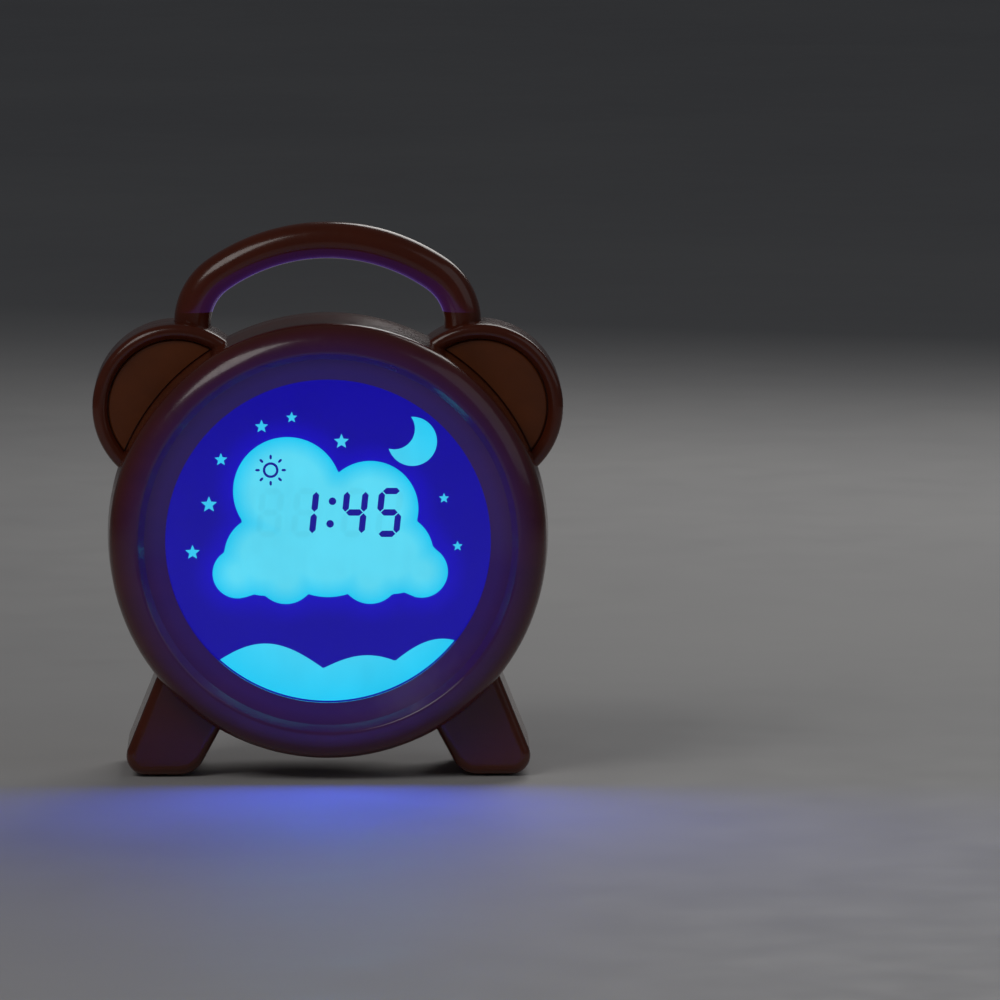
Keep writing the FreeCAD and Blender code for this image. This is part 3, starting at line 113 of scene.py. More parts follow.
class ClockSizes(bpy.types.PropertyGroup):
    """Sizes of what is printed, lit or added to the clock"""
    art_gap: bpy.props.FloatProperty(
        name="Art layer gap", description="Step between printed layers", default=0.06 * MM, unit="LENGTH",
        precision=5)
    digit_height: bpy.props.FloatProperty(
        name="Digit height", description="Height of the time's digits", default=16.4 * MM, unit="LENGTH",
        precision=4)
    digit_stroke: bpy.props.FloatProperty(
        name="Digit stroke", description="Width of one segment", default=2.1 * MM, unit="LENGTH",
        precision=4)
    digit_slant: bpy.props.FloatProperty(
        name="Digit slant", description="Lean of the digits", default=math.radians(6), subtype="ANGLE")
    star_radius: bpy.props.FloatProperty(
        name="Star radius", description="Largest star on the display", default=3.4 * MM, unit="LENGTH",
        precision=4)
    mark_stroke: bpy.props.FloatProperty(
        name="Key mark stroke", description="Line width of the key marks", default=0.55 * MM, unit="LENGTH",
        precision=4)
    mark_height: bpy.props.FloatProperty(
        name="Key mark relief", description="Relief of the key marks", default=0.08 * MM, unit="LENGTH",
        precision=5)


class ClockColours(bpy.types.PropertyGroup):
    """Colours of the clock"""
    housing: bpy.props.FloatVectorProperty(
        name="Housing", description="Glossy chestnut plastic", subtype="COLOR", size=3,
        default=(0.118, 0.021, 0.007), min=0, max=1)
    pad: bpy.props.FloatVectorProperty(
        name="Ear pad", description="Satin orange-brown plastic", subtype="COLOR", size=3,
        default=(0.19, 0.044, 0.006), min=0, max=1)
    night: bpy.props.FloatVectorProperty(
        name="Night blue", description="Dark part of the display", subtype="COLOR", size=3,
        default=(0.004, 0.0, 0.36), min=0, max=1)
    glow: bpy.props.FloatVectorProperty(
        name="Display cyan", description="Bright part of the display", subtype="COLOR", size=3,
        default=(0.115, 0.77, 1.0), min=0, max=1)
    ink: bpy.props.FloatVectorProperty(
        name="Display ink", description="Digits and icon", subtype="COLOR", size=3,
        default=(0.006, 0.004, 0.30), min=0, max=1)
    spill: bpy.props.FloatVectorProperty(
        name="Spill light", description="Light that the display throws", subtype="COLOR", size=3,
        default=(0.03, 0.07, 1.0), min=0, max=1)


class StageSettings(bpy.types.PropertyGroup):
    """Camera, light and floor"""
    distance: bpy.props.FloatProperty(
        name="Camera distance", description="From the camera to the clock", default=3.4, unit="LENGTH")
    elevation: bpy.props.FloatProperty(
        name="Camera elevation", description="Angle above level", default=math.radians(6.5),
        subtype="ANGLE")
    pixels_per_metre: bpy.props.FloatProperty(
        name="Image scale", default=3020.0, description="Pixels of the picture per metre")
    axis_pixel_x: bpy.props.FloatProperty(
        name="Axis column", default=328.0, description="Picture column of the clock's axis", subtype="PIXEL")
    axis_pixel_y: bpy.props.FloatProperty(
        name="Axis row", default=543.5, description="Picture row of the clock's axis", subtype="PIXEL")
    key_power: bpy.props.FloatProperty(
        name="Key light", default=2.3, description="Power of the soft key light", unit="POWER")
    fill_power: bpy.props.FloatProperty(
        name="Fill light", default=0.7, description="Power of the soft fill light", unit="POWER")
    rear_power: bpy.props.FloatProperty(
        name="Rear light", default=2.5, description="Power of the soft light behind the clock", unit="POWER")
    spill_power: bpy.props.FloatProperty(
        name="Display spill", default=0.16, description="Power that the display throws", unit="POWER")
    air: bpy.props.FloatProperty(
        name="Ambient", default=0.045, description="Strength of the even surrounding light")


def sizes():
    return bpy.context.scene.clock_sizes


def colours():
    return bpy.context.scene.clock_colours


class Shader:
    """Small helper that builds one material's nodes."""

    def __init__(self, name):
        self.material = bpy.data.materials.new(name)
        self.material.use_nodes = True
        self.tree = self.material.node_tree
        self.tree.nodes.clear()
        self.out = self.add("ShaderNodeOutputMaterial")
        self.here = self.add("ShaderNodeTexCoord").outputs["Object"]

    def add(self, kind, inputs=None, **values):
        """New node with its own values set and its inputs set to plain values."""
        node = self.tree.nodes.new(kind)
        for key, value in values.items():
            setattr(node, key, value)
        for key, value in (inputs or {}).items():
            node.inputs[key].default_value = value
        return node

    def link(self, source, target):
        self.tree.links.new(source, target)

    def put(self, value, socket):
        """Links a node's output to a socket, or sets the socket to a plain colour or number."""
        if isinstance(value, bpy.types.NodeSocket):
            self.link(value, socket)
        elif isinstance(value, tuple):
            socket.default_value = (*value, 1.0)
        else:
            socket.default_value = value

    def place(self, **settings):
        """Object coordinates, moved, turned or scaled."""
        node = self.add("ShaderNodeMapping", settings)
        self.link(self.here, node.inputs["Vector"])
        return node.outputs["Vector"]

    def noise(self, scale, detail=3.0, roughness=0.5, stretch=(1, 1, 1)):
        node = self.add("ShaderNodeTexNoise", {"Scale": scale, "Detail": detail, "Roughness": roughness})
        self.link(self.place(Scale=stretch), node.inputs["Vector"])
        return node.outputs["Fac"]

    def spread(self, value, low=0.0, high=1.0, from_low=0.3, from_high=0.7):
        """Value stretched from one range to another and kept inside it; noise lies mostly from 0.3 to 0.7."""
        node = self.add("ShaderNodeMapRange", {"From Min": from_low, "From Max": from_high, "To Min": low,
                                               "To Max": high})
        self.link(value, node.inputs["Value"])
        return node.outputs["Result"]

    def blend(self, factor, first, second, kind="MIX"):
        node = self.add("ShaderNodeMix", data_type="RGBA", blend_type=kind)
        self.put(factor, node.inputs[MIX_FACTOR])
        self.put(first, node.inputs[MIX_A])
        self.put(second, node.inputs[MIX_B])
        return node.outputs[MIX_RESULT]

    def maths(self, operation, *values):
        node = self.add("ShaderNodeMath", operation=operation)
        for value, socket in zip(values, node.inputs):
            self.put(value, socket)
        return node.outputs[0]

    def axis(self, letter):
        node = self.add("ShaderNodeSeparateXYZ")
        self.link(self.here, node.inputs[0])
        return node.outputs[letter]

    def radial(self, reach):
        """Distance from the display's axis, as a share of a reach."""
        length = self.add("ShaderNodeVectorMath", operation="LENGTH")
        flat = self.place(Location=(0, 0, -AXIS_Z / reach), Scale=(1 / reach, 0, 1 / reach))
        self.link(flat, length.inputs[0])
        return length.outputs["Value"]

    def bump(self, height, strength, distance):
        node = self.add("ShaderNodeBump", {"Strength": strength, "Distance": distance})
        self.link(height, node.inputs["Height"])
        return node.outputs["Normal"]

    def plastic(self, colour, roughness, normal=None, metallic=0.0, coat=0.0, specular=0.5):
        """Main surface of the material, which is then finished unless more is added to the surface."""
        node = self.add("ShaderNodeBsdfPrincipled", {"Metallic": metallic, "Coat Weight": coat,
                                                     "Specular IOR Level": specular})
        self.put(colour, node.inputs["Base Color"])
        self.link(roughness, node.inputs["Roughness"])
        if normal is not None:
            self.link(normal, node.inputs["Normal"])
        self.link(node.outputs[0], self.out.inputs["Surface"])
        self.surface = node
        return self.material

    def shine(self, colour):
        """Lets the surface shine with its own colour at full strength."""
        self.link(colour, self.surface.inputs["Emission Color"])
        self.surface.inputs["Emission Strength"].default_value = 1.0

    def glow(self, colour):
        """Dark, slightly glossy print with a slightly uneven light of its own."""
        self.plastic((0.002, 0.002, 0.004), self.spread(self.noise(300.0), 0.45, 0.6), specular=0.15)
        self.shine(self.blend(1.0, colour, self.spread(self.noise(55.0), 0.92, 1.0), "MULTIPLY"))
        return self.material


def shade(colour, factor):
    return tuple(min(1.0, c * factor) for c in colour)


def moulded_gloss(name, colour, seam=False, painted_rim_glow=False):
    """Glossy moulded plastic: slight flow streaks, fine waves, rubbed roughness and, if asked, a painted blue
    glow that stands in for the display's light.
    """
    s = Shader(name)
    streaks = s.spread(s.noise(26.0, 4.0, 0.6, (1, 1, 2.2)))
    tint = s.blend(streaks, shade(colour, 0.86), shade(colour, 1.12))
    rough = s.spread(s.noise(340.0, 5.0, 0.65), 0.15, 0.26)
    height = s.maths("MULTIPLY", s.noise(140.0, 2.0, 0.4), 0.6)
    if seam:
        gap = s.maths("ABSOLUTE", s.maths("SUBTRACT", s.axis("Y"), PARTING_Y))
        clear = s.spread(gap, 0.0, 1.0, SEAM_DARK, SEAM_CLEAR)
        tint = s.blend(clear, shade(colour, 0.12), tint)
        height = s.maths("ADD", height, s.maths("MULTIPLY", clear, 2.0))
    s.plastic(tint, rough, s.bump(height, 0.12, 0.12 * MM), coat=0.25)
    if painted_rim_glow:
        # Painted glow: blue emission, strongest at the window's rim and fading outward and towards the back,
        # standing in for the display's light on the housing
        fade = s.spread(s.radial(WINDOW_R), 1.0, 0.0, 1.0, PAINTED_GLOW_REACH)
        front = s.spread(s.axis("Y"), 1.0, 0.0, FRONT_FACE + PAINTED_GLOW_DEPTH, FRONT_FACE + PAINTED_GLOW_END)
        painted_glow_share = s.maths("MULTIPLY", s.maths("POWER", fade, 1.5), front)
        s.shine(s.blend(painted_glow_share, (0.0, 0.0, 0.0), PAINTED_GLOW_COLOUR))
    return s.material


def satin_plastic(name, colour):
    """Satin plastic with the fine grain of an eroded mould."""
    s = Shader(name)
    tint = s.blend(s.spread(s.noise(60.0, 4.0)), shade(colour, 0.82), shade(colour, 1.15))
    rough = s.spread(s.noise(450.0, 3.0), 0.36, 0.5)
    return s.plastic(tint, rough, s.bump(s.noise(900.0, 4.0, 0.7), 0.35, 0.06 * MM))


def soft_rubber():
    """Matt black rubber with a coarse grain."""
    s = Shader("foot_rubber_matt")
    tint = s.blend(s.spread(s.noise(220.0, 5.0)), (0.012, 0.012, 0.013), (0.032, 0.031, 0.03))
    return s.plastic(tint, s.spread(s.noise(500.0), 0.7, 0.88), s.bump(s.noise(1400.0, 3.0), 0.5, 0.08 * MM))


def plated_steel():
    """Bright plated steel with drawing streaks along the clock's depth."""
    s = Shader("plated_steel")
    streak = s.noise(600.0, 3.0, 0.5, (1, 0.05, 1))
    tint = s.blend(s.spread(streak), (0.42, 0.42, 0.43), (0.66, 0.66, 0.65))
    return s.plastic(tint, s.spread(s.noise(300.0), 0.22, 0.4), s.bump(streak, 0.15, 0.03 * MM), metallic=1.0)


def circuit_laminate():
    """Green solder mask over copper tracks."""
    s = Shader("circuit_laminate")
    track = s.add("ShaderNodeTexBrick", {"Scale": 190.0, "Mortar Size": 0.035})
    s.link(s.place(Rotation=(math.radians(90), 0, 0)), track.inputs["Vector"])
    base = s.blend(s.spread(s.noise(90.0)), (0.006, 0.07, 0.02), (0.012, 0.12, 0.035))
    tint = s.blend(track.outputs["Fac"], base, (0.05, 0.22, 0.06))
    return s.plastic(tint, s.spread(s.noise(700.0), 0.25, 0.4), s.bump(track.outputs["Fac"], 0.3, 0.05 * MM))


def cell_jacket():
    """Plain shrink jacket: dark can with a copper-coloured end band and bare steel rims."""
    s = Shader("cell_jacket_print")
    rim, rim_edge, band_start, band_full = 3.0 * MM, 3.2 * MM, 8.0 * MM, 8.2 * MM
    end = s.spread(s.maths("ABSOLUTE", s.axis("X")), 0.0, 1.0, CELL_END - rim_edge, CELL_END - rim)
    band = s.spread(s.axis("X"), 0.0, 1.0, band_start, band_full)
    dark = s.blend(s.spread(s.noise(80.0)), (0.012, 0.012, 0.016), (0.03, 0.03, 0.036))
    tint = s.blend(end, s.blend(band, dark, (0.46, 0.20, 0.06)), (0.6, 0.6, 0.6))
    normal = s.bump(s.noise(260.0), 0.1, 0.05 * MM)
    return s.plastic(tint, s.spread(s.noise(400.0), 0.2, 0.34), normal, metallic=0.35)


def speaker_weave(name, dark, light):
    """Coarse woven cloth."""
    s = Shader(name)
    bands = []
    for direction in ("X", "Z"):
        wave = s.add("ShaderNodeTexWave", {"Scale": 320.0}, bands_direction=direction)
        s.link(s.here, wave.inputs["Vector"])
        bands.append(wave.outputs["Fac"])
    weave = s.maths("MAXIMUM", *bands)
    tint = s.blend(weave, dark, light)
    return s.plastic(tint, s.spread(s.noise(500.0), 0.75, 0.92), s.bump(weave, 0.6, 0.15 * MM))


def clear_window():
    """Clear acrylic with faint hairlines and a gloss that grows at a shallow angle."""
    s = Shader("clear_window_acrylic")
    hair = s.noise(300.0, 4.0, 0.6, (1, 1, 0.15))
    tint = s.blend(s.spread(hair), (0.96, 0.97, 0.98), (1.0, 1.0, 1.0))
    s.plastic(tint, s.spread(hair, 0.01, 0.04), specular=0.2)
    s.surface.inputs["Transmission Weight"].default_value = 1.0
    s.surface.inputs["IOR"].default_value = 1.49
    return s.material


def lit_layer(name, colour, rim_colour):
    """Back-lit print whose light changes gently from the middle of the display to its rim."""
    s = Shader(name)
    outward = s.spread(s.radial(WINDOW_R), 0.0, 1.0, 0.35, 1.0)
    factor = s.maths("ADD", outward, s.maths("MULTIPLY", s.noise(40.0, 3.0), 0.06))
    return s.glow(s.blend(factor, colour, rim_colour))


def cloud_light(name, inner, outer, start, end):
    """Back-lit print whose colour follows the distance past the edge of the cloud's lobes."""
    s = Shader(name)
    flat = s.add("ShaderNodeVectorMath", {1: (1, 0, 1)}, operation="MULTIPLY")
    s.link(s.here, flat.inputs[0])
    nearest = None
    for x, z, radius in cloud_lobes():
        span = s.add("ShaderNodeVectorMath", {1: (x, 0, z)}, operation="DISTANCE")
        s.link(flat.outputs[0], span.inputs[0])
        away = s.maths("SUBTRACT", span.outputs["Value"], radius)
        nearest = away if nearest is None else s.maths("SMOOTH_MIN", nearest, away, LOBE_BLEND)
    return s.glow(s.blend(s.spread(nearest, 0.0, 1.0, start, end), inner, outer))


def frosted_guide():
    """Frosted light guide with printed dots."""
    s = Shader("frosted_light_guide")
    dots = s.add("ShaderNodeTexVoronoi", {"Scale": 700.0})
    s.link(s.here, dots.inputs["Vector"])
    between = s.spread(dots.outputs["Distance"], 0.0, 1.0, 0.2, 0.45)
    return s.plastic(s.blend(between, (0.75, 0.93, 1.0), (0.2, 0.6, 0.9)), s.spread(s.noise(500.0), 0.4, 0.6))


def plain_floor():
    """Pale matt floor with a faint unevenness."""
    s = Shader("pale_floor")
    tint = s.blend(s.spread(s.noise(3.0, 5.0)), (0.60, 0.60, 0.61), (0.66, 0.66, 0.66))
    normal = s.bump(s.noise(60.0, 4.0), 0.05, 0.5 * MM)
    return s.plastic(tint, s.spread(s.noise(30.0), 0.5, 0.62), normal, specular=0.25)


def dress(node, material):
    """Gives a solid its material and smooth shading between faces that meet at a shallow angle."""
    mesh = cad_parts[node].data
    mesh.materials.clear()
    mesh.materials.append(material)
    mesh.shade_smooth()
    mesh.set_sharp_from_angle(angle=SMOOTH_ANGLE)


def linked_object(name, mesh):
    made = bpy.data.objects.new(name, mesh)
    bpy.context.scene.collection.objects.link(made)
    return made


def form_object(name, form, material):
    """Turns a bmesh into a linked object with faces that look outward."""
    bmesh.ops.recalc_face_normals(form, faces=form.faces)
    mesh = bpy.data.meshes.new(name)
    form.to_mesh(mesh)
    form.free()
    mesh.materials.append(material)
    return linked_object(name, mesh)


def mesh_piece(name, form, material, body=ROOT):
    """Turns a bmesh into a finished piece that rides on a body."""
    bmesh.ops.remove_doubles(form, verts=form.verts, dist=1e-7)
    piece = form_object(name, form, material)
    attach(piece, body)
    return piece


def add_plate(form, outline, front, thickness):
    """Flat plate in the XZ plane, from its front face back by a thickness along Y."""
    near = [form.verts.new((x, front, z)) for x, z in outline]
    far = [form.verts.new((x, front + thickness, z)) for x, z in outline]
    form.faces.new(near)
    form.faces.new(list(reversed(far)))
    count = len(outline)
    for i in range(count):
        j = (i + 1) % count
        form.faces.new((near[j], near[i], far[i], far[j]))


def plate_piece(name, outline, front, thickness, material, body=ROOT):
    """Finished piece that is one flat plate."""
    form = bmesh.new()
    add_plate(form, outline, front, thickness)
    return mesh_piece(name, form, material, body)


def circle_points(x, z, radius, count=48, start=0.0, sweep=math.tau):
    """Points round a circle, or along an arc with both its ends."""
    closed = abs(sweep - math.tau) < 1e-6
    steps = count if closed else count - 1
    turns = [start + sweep * i / steps for i in range(count)]
    return [(x + radius * math.cos(turn), z + radius * math.sin(turn)) for turn in turns]


def add_ring(form, x, z, radius, stroke, front, thickness, count=40):
    """Flat ring in the XZ plane."""
    outer = circle_points(x, z, radius, count)
    inner = circle_points(x, z, radius - stroke, count)
    for i in range(count):
        j = (i + 1) % count
        quad = [outer[i], outer[j], inner[j], inner[i]]
        near = [form.verts.new((a, front, b)) for a, b in quad]
        far = [form.verts.new((a, front + thickness, b)) for a, b in quad]
        form.faces.new(near)
        form.faces.new(list(reversed(far)))
        form.faces.new((near[1], near[0], far[0], far[1]))
        form.faces.new((near[3], near[2], far[2], far[3]))


def bar_outline(x0, z0, x1, z1, stroke):
    """Straight bar with pointed ends between two places."""
    along = Vector((x1 - x0, z1 - z0)).normalized()
    side = Vector((-along.y, along.x)) * stroke / 2
    tip = along * stroke / 2
    a, b = Vector((x0, z0)), Vector((x1, z1))
    points = [a, a + tip + side, b - tip + side, b, b - tip - side, a + tip - side]
    return [(p.x, p.y) for p in points]


def add_sun(form, x, z, radius, ray_start, ray_end, stroke, front, thickness):
    """Small sun: a ring and eight rays."""
    add_ring(form, x, z, radius, stroke, front, thickness)
    for i in range(8):
        turn = math.tau * i / 8
        dx, dz = math.cos(turn), math.sin(turn)
        ray = bar_outline(x + ray_start * dx, z + ray_start * dz, x + ray_end * dx, z + ray_end * dz, stroke)
        add_plate(form, ray, front, thickness)


def add_skin(form, rings):
    """Closed skin through rings of equally many points; the first and the last ring are closed flat."""
    loops = [[form.verts.new(point) for point in ring] for ring in rings]
    count = len(loops[0])
    for low, high in zip(loops, loops[1:]):
        for i in range(count):
            j = (i + 1) % count
            form.faces.new((low[i], low[j], high[j], high[i]))
    form.faces.new(loops[0])
    form.faces.new(list(reversed(loops[-1])))


def cloud_lobes():
    """Centres and radii of the cloud's round lobes."""
    return [(x * MM, AXIS_Z + z * MM, r * MM) for x, z, r in CLOUD_LOBES]


def cloud_outline():
    """Outline of the cloud's lobes together, seen from the middle of the first one."""
    lobes = cloud_lobes()
    cx, cz, _ = lobes[0]
    points = []
    for i in range(CLOUD_POINTS):
        turn = math.tau * i / CLOUD_POINTS
        dx, dz = math.cos(turn), math.sin(turn)
        reach = 0.0
        for x, z, radius in lobes:
            mx, mz = x - cx, z - cz
            along = mx * dx + mz * dz
            miss = mx * mx + mz * mz - along * along
            if miss < radius * radius:
                reach = max(reach, along + math.sqrt(radius * radius - miss))
        points.append((cx + reach * dx, cz + reach * dz))
    return points


def layer(step):
    """Front face of a printed layer, counted forward from the film."""
    return FILM_BACK - FILM_THICKNESS - step * sizes().art_gap


def layer_thickness():
    return sizes().art_gap * LAYER_SHARE


def repeated_piece(name, places, scales, pattern, material):
    """Piece of the clock made of scaled copies of a pattern, which is used up."""
    points = bpy.data.meshes.new(name + "_places")
    points.from_pydata(places, [], [])
    size = points.attributes.new("size", "FLOAT", "POINT")
    for value, scale in zip(size.data, scales):
        value.value = scale
    piece = linked_object(name, points)
    repeat_on_points(piece, pattern, material)
    bpy.data.objects.remove(pattern)
    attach(piece, ROOT)
    return piece


def repeat_on_points(piece, pattern, material):
    """Puts a copy on every point of a piece, as large as the point's size, and keeps the plain mesh."""
    tree = bpy.data.node_groups.new(piece.name + "_repeat", "GeometryNodeTree")
    tree.interface.new_socket("Geometry", in_out="INPUT", socket_type="NodeSocketGeometry")
    copy = tree.interface.new_socket("Copy", in_out="INPUT", socket_type="NodeSocketObject")
    scale = tree.interface.new_socket("Size", in_out="INPUT", socket_type="NodeSocketFloat")
    finish = tree.interface.new_socket("Finish", in_out="INPUT", socket_type="NodeSocketMaterial")
    tree.interface.new_socket("Geometry", in_out="OUTPUT", socket_type="NodeSocketGeometry")
    add, link = tree.nodes.new, tree.links.new
    start = add("NodeGroupInput")
    end = add("NodeGroupOutput")
    info = add("GeometryNodeObjectInfo")
    copies = add("GeometryNodeInstanceOnPoints")
    real = add("GeometryNodeRealizeInstances")
    paint = add("GeometryNodeSetMaterial")
    named = add("GeometryNodeInputNamedAttribute")
    named.data_type = "FLOAT"
    named.inputs["Name"].default_value = "size"
    times = add("ShaderNodeMath")
    times.operation = "MULTIPLY"
    link(start.outputs["Copy"], info.inputs["Object"])
    link(start.outputs["Geometry"], copies.inputs["Points"])
    link(info.outputs["Geometry"], copies.inputs["Instance"])
    link(start.outputs["Size"], times.inputs[0])
    link(named.outputs["Attribute"], times.inputs[1])
    link(times.outputs[0], copies.inputs["Scale"])
    link(copies.outputs["Instances"], real.inputs["Geometry"])
    link(real.outputs["Geometry"], paint.inputs["Geometry"])
    link(start.outputs["Finish"], paint.inputs["Material"])
    link(paint.outputs["Geometry"], end.inputs["Geometry"])
    modifier = piece.modifiers.new("repeat", "NODES")
    modifier.node_group = tree
    modifier[copy.identifier] = pattern
    modifier[scale.identifier] = 1.0
    modifier[finish.identifier] = material
    bpy.context.view_layer.update()
    result = bpy.data.meshes.new_from_object(piece.evaluated_get(bpy.context.evaluated_depsgraph_get()))
    piece.modifiers.clear()
    piece.data = result


class CLOCK_OT_housings(bpy.types.Operator):
    """Glossy housings, handle, battery lid and light button"""
    bl_idname = "clock.housings"
    bl_label = "Finish housings"

    def execute(self, context):
        brown = tuple(colours().housing)
        # The front housing carries the painted blue glow round the window
        dress("front_housing", moulded_gloss("chestnut_gloss_front", brown, seam=True, painted_rim_glow=True))
        dress("rear_housing", moulded_gloss("chestnut_gloss_rear", brown, seam=True))
        trim = moulded_gloss("chestnut_gloss_trim", brown)
        for node in ("handle", "battery_door", "light_button"):
            dress(node, trim)
        return {"FINISHED"}


class CLOCK_OT_pads_and_keys(bpy.types.Operator):
    """Satin ear pads, rear keys, slide knob and rubber feet"""
    bl_idname = "clock.pads_and_keys"
    bl_label = "Finish pads and keys"

    def execute(self, context):
        satin = satin_plastic("ear_pad_satin", tuple(colours().pad))
        for node in ("ear_pad_left", "ear_pad_right", "time_button", "alarm_button", "wake_button",
                     "plus_button", "minus_button", "alarm_switch_knob"):
            dress(node, satin)
        dress("foot_pads", soft_rubber())
        return {"FINISHED"}


class CLOCK_OT_inner_parts(bpy.types.Operator):
    """Boards, screws, speaker, cells and the parts behind the display"""
    bl_idname = "clock.inner_parts"
    bl_label = "Finish inner parts"

    def execute(self, context):
        finishes = {
            plated_steel(): (
                "frame_screws", "main_board_screws", "key_board_screws", "speaker_screws", "speaker_frame",
                "battery_springs", "battery_plates", "light_switch_screws", "housing_screws"),
            satin_plastic("black_satin", (0.012, 0.012, 0.013)): (
                "display_frame", "main_board_parts", "alarm_switch_body", "key_switches", "speaker_ring",
                "light_switch"),
            satin_plastic("white_satin", (0.72, 0.72, 0.72)): ("reflector_sheet", "backlight_leds"),
            circuit_laminate(): ("main_board", "key_board", "light_switch_board"),
            cell_jacket(): ("battery_cells",),
            speaker_weave("speaker_paper", (0.02, 0.02, 0.02), (0.05, 0.048, 0.045)): ("speaker_cone",),
            frosted_guide(): ("light_guide",),
            satin_plastic("lcd_polariser", (0.05, 0.12, 0.14)): ("lcd_panel",),
            clear_window(): ("display_window",),
        }
        for material, nodes in finishes.items():
            for node in nodes:
                dress(node, material)
        return {"FINISHED"}


class CLOCK_OT_lit_film(bpy.types.Operator):
    """Blue printed film that fills the round display"""
    bl_idname = "clock.lit_film"
    bl_label = "Lit film"

    def execute(self, context):
        night = tuple(colours().night)
        film = cloud_light("night_blue_lit_film", shade(night, 1.55), night, HALO_START, HALO_END)
        disc = circle_points(0.0, AXIS_Z, WINDOW_R, 128)
        piece = plate_piece("lit_film", disc, layer(0), FILM_BACK - layer(0), film)
        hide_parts("display_mask")
        return {"FINISHED"}


MOON_X, MOON_Z, MOON_R = 28.0 * MM, 33.0 * MM, 8.2 * MM
MOON_TILT, MOON_HALF = math.radians(-35), math.radians(128)
MOON_INNER_SHARE = 1.06
HILLS = ((-21.0, 21.0, 9.5), (13.0, 17.0, 5.5), (38.0, 20.0, 11.0))
HILL_FOOT = -44.0 * MM
HILL_STEPS, HILL_RIM_POINTS = 180, 70
HILL_MARGIN = 0.15 * MM


class CLOCK_OT_lit_shapes(bpy.types.Operator):
    """Cyan cloud, crescent moon and hills that the backlight shows"""
    bl_idname = "clock.lit_shapes"
    bl_label = "Lit cloud, moon and hills"

    def execute(self, context):
        glow = tuple(colours().glow)
        cloud = cloud_light("cyan_lit_cloud", glow, GLOW_RIM, -GLOW_EDGE, 0.0)
        sky = lit_layer("cyan_lit_sky", glow, GLOW_RIM)
        shapes = (("lit_cloud", cloud_outline(), cloud), ("lit_moon", self.crescent(), sky),
                  ("lit_hills", self.hills(), sky))
        for name, outline, material in shapes:
            plate_piece(name, outline, layer(1), layer_thickness(), material)
        return {"FINISHED"}

    def crescent(self):
        """Crescent open to the upper left."""
        outer = circle_points(MOON_X, AXIS_Z + MOON_Z, MOON_R, 48, MOON_TILT - MOON_HALF, 2 * MOON_HALF)
        first, last = Vector(outer[0]), Vector(outer[-1])
        chord = (first - last).length / 2
        radius = chord * MOON_INNER_SHARE
        back = math.sqrt(radius ** 2 - chord ** 2)
        centre = (first + last) / 2 - Vector((math.cos(MOON_TILT), math.sin(MOON_TILT))) * back
        spread = math.asin(chord / radius)
        inner = circle_points(centre.x, centre.y, radius, 36, MOON_TILT + spread, -2 * spread)
        return outer + inner[1:-1]

    def hills(self):
        """Rolling hills cut off by the rim of the display."""
        top = []
        for i in range(HILL_STEPS + 1):
            x = (-1.0 + 2.0 * i / HILL_STEPS) * OPENING_R
            z = self.hill_height(x)
            if z > -math.sqrt(max(OPENING_R * OPENING_R - x * x, 0.0)) + HILL_MARGIN:
                top.append((x, AXIS_Z + z))
        start = math.atan2(top[-1][1] - AXIS_Z, top[-1][0])
        end = math.atan2(top[0][1] - AXIS_Z, top[0][0])
        if end > start:
            end -= math.tau
        return top + circle_points(0.0, AXIS_Z, OPENING_R, HILL_RIM_POINTS, start, end - start)

    def hill_height(self, x):
        """Height of the hills' crest over the axis: two broad rounds and a low one."""
        return max(HILL_FOOT + high * MM * math.cos(min(abs(x / MM - middle) / wide, 1.0) * math.pi / 2)
                   for middle, wide, high in HILLS)


STAR_SEED = 7
STAR_SMALLEST = 0.5
STAR_WAIST = 0.45
STAR_PLACES = ((-35.5, 27.0), (-12.0, 41.0), (-39.5, 12.0), (38.5, 14.0), (4.5, 33.0), (-22.0, 38.0),
               (43.0, -2.0), (-45.0, -4.0))


class CLOCK_OT_lit_stars(bpy.types.Operator):
    """Small five-pointed stars scattered on the blue film"""
    bl_idname = "clock.lit_stars"
    bl_label = "Lit stars"

    def execute(self, context):
        random.seed(STAR_SEED)
        material = lit_layer("cyan_lit_star", (0.1, 0.72, 1.0), (0.01, 0.6, 1.0))
        places = [(x * MM, layer(1), AXIS_Z + z * MM) for x, z in STAR_PLACES]
        scales = [random.uniform(STAR_SMALLEST, 1.0) for _ in places]
        repeated_piece("lit_stars", places, scales, self.star(material), material)
        return {"FINISHED"}

    def star(self, material):
        outline = []
        for i in range(10):
            turn = math.pi / 2 + math.tau * i / 10
            reach = sizes().star_radius if i % 2 == 0 else sizes().star_radius * STAR_WAIST
            outline.append((reach * math.cos(turn), reach * math.sin(turn)))
        form = bmesh.new()
        add_plate(form, outline, 0.0, layer_thickness())
        return form_object("star", form, material)


SEGMENTS = {"1": "bc", "4": "bcfg", "5": "acdfg", "8": "abcdefg"}
DIGIT_START_X, DIGIT_FOOT_Z = -12.6 * MM, 1.1 * MM
DIGIT_WIDTH_SHARE = 0.5
SEGMENT_GAP_SHARE = 0.12
DIGIT_GAP_STROKES = 1.6
COLON_ROOM_STROKES = 2.3
COLON_SHARE = 0.26
COLON_DOT_STROKES = 0.6


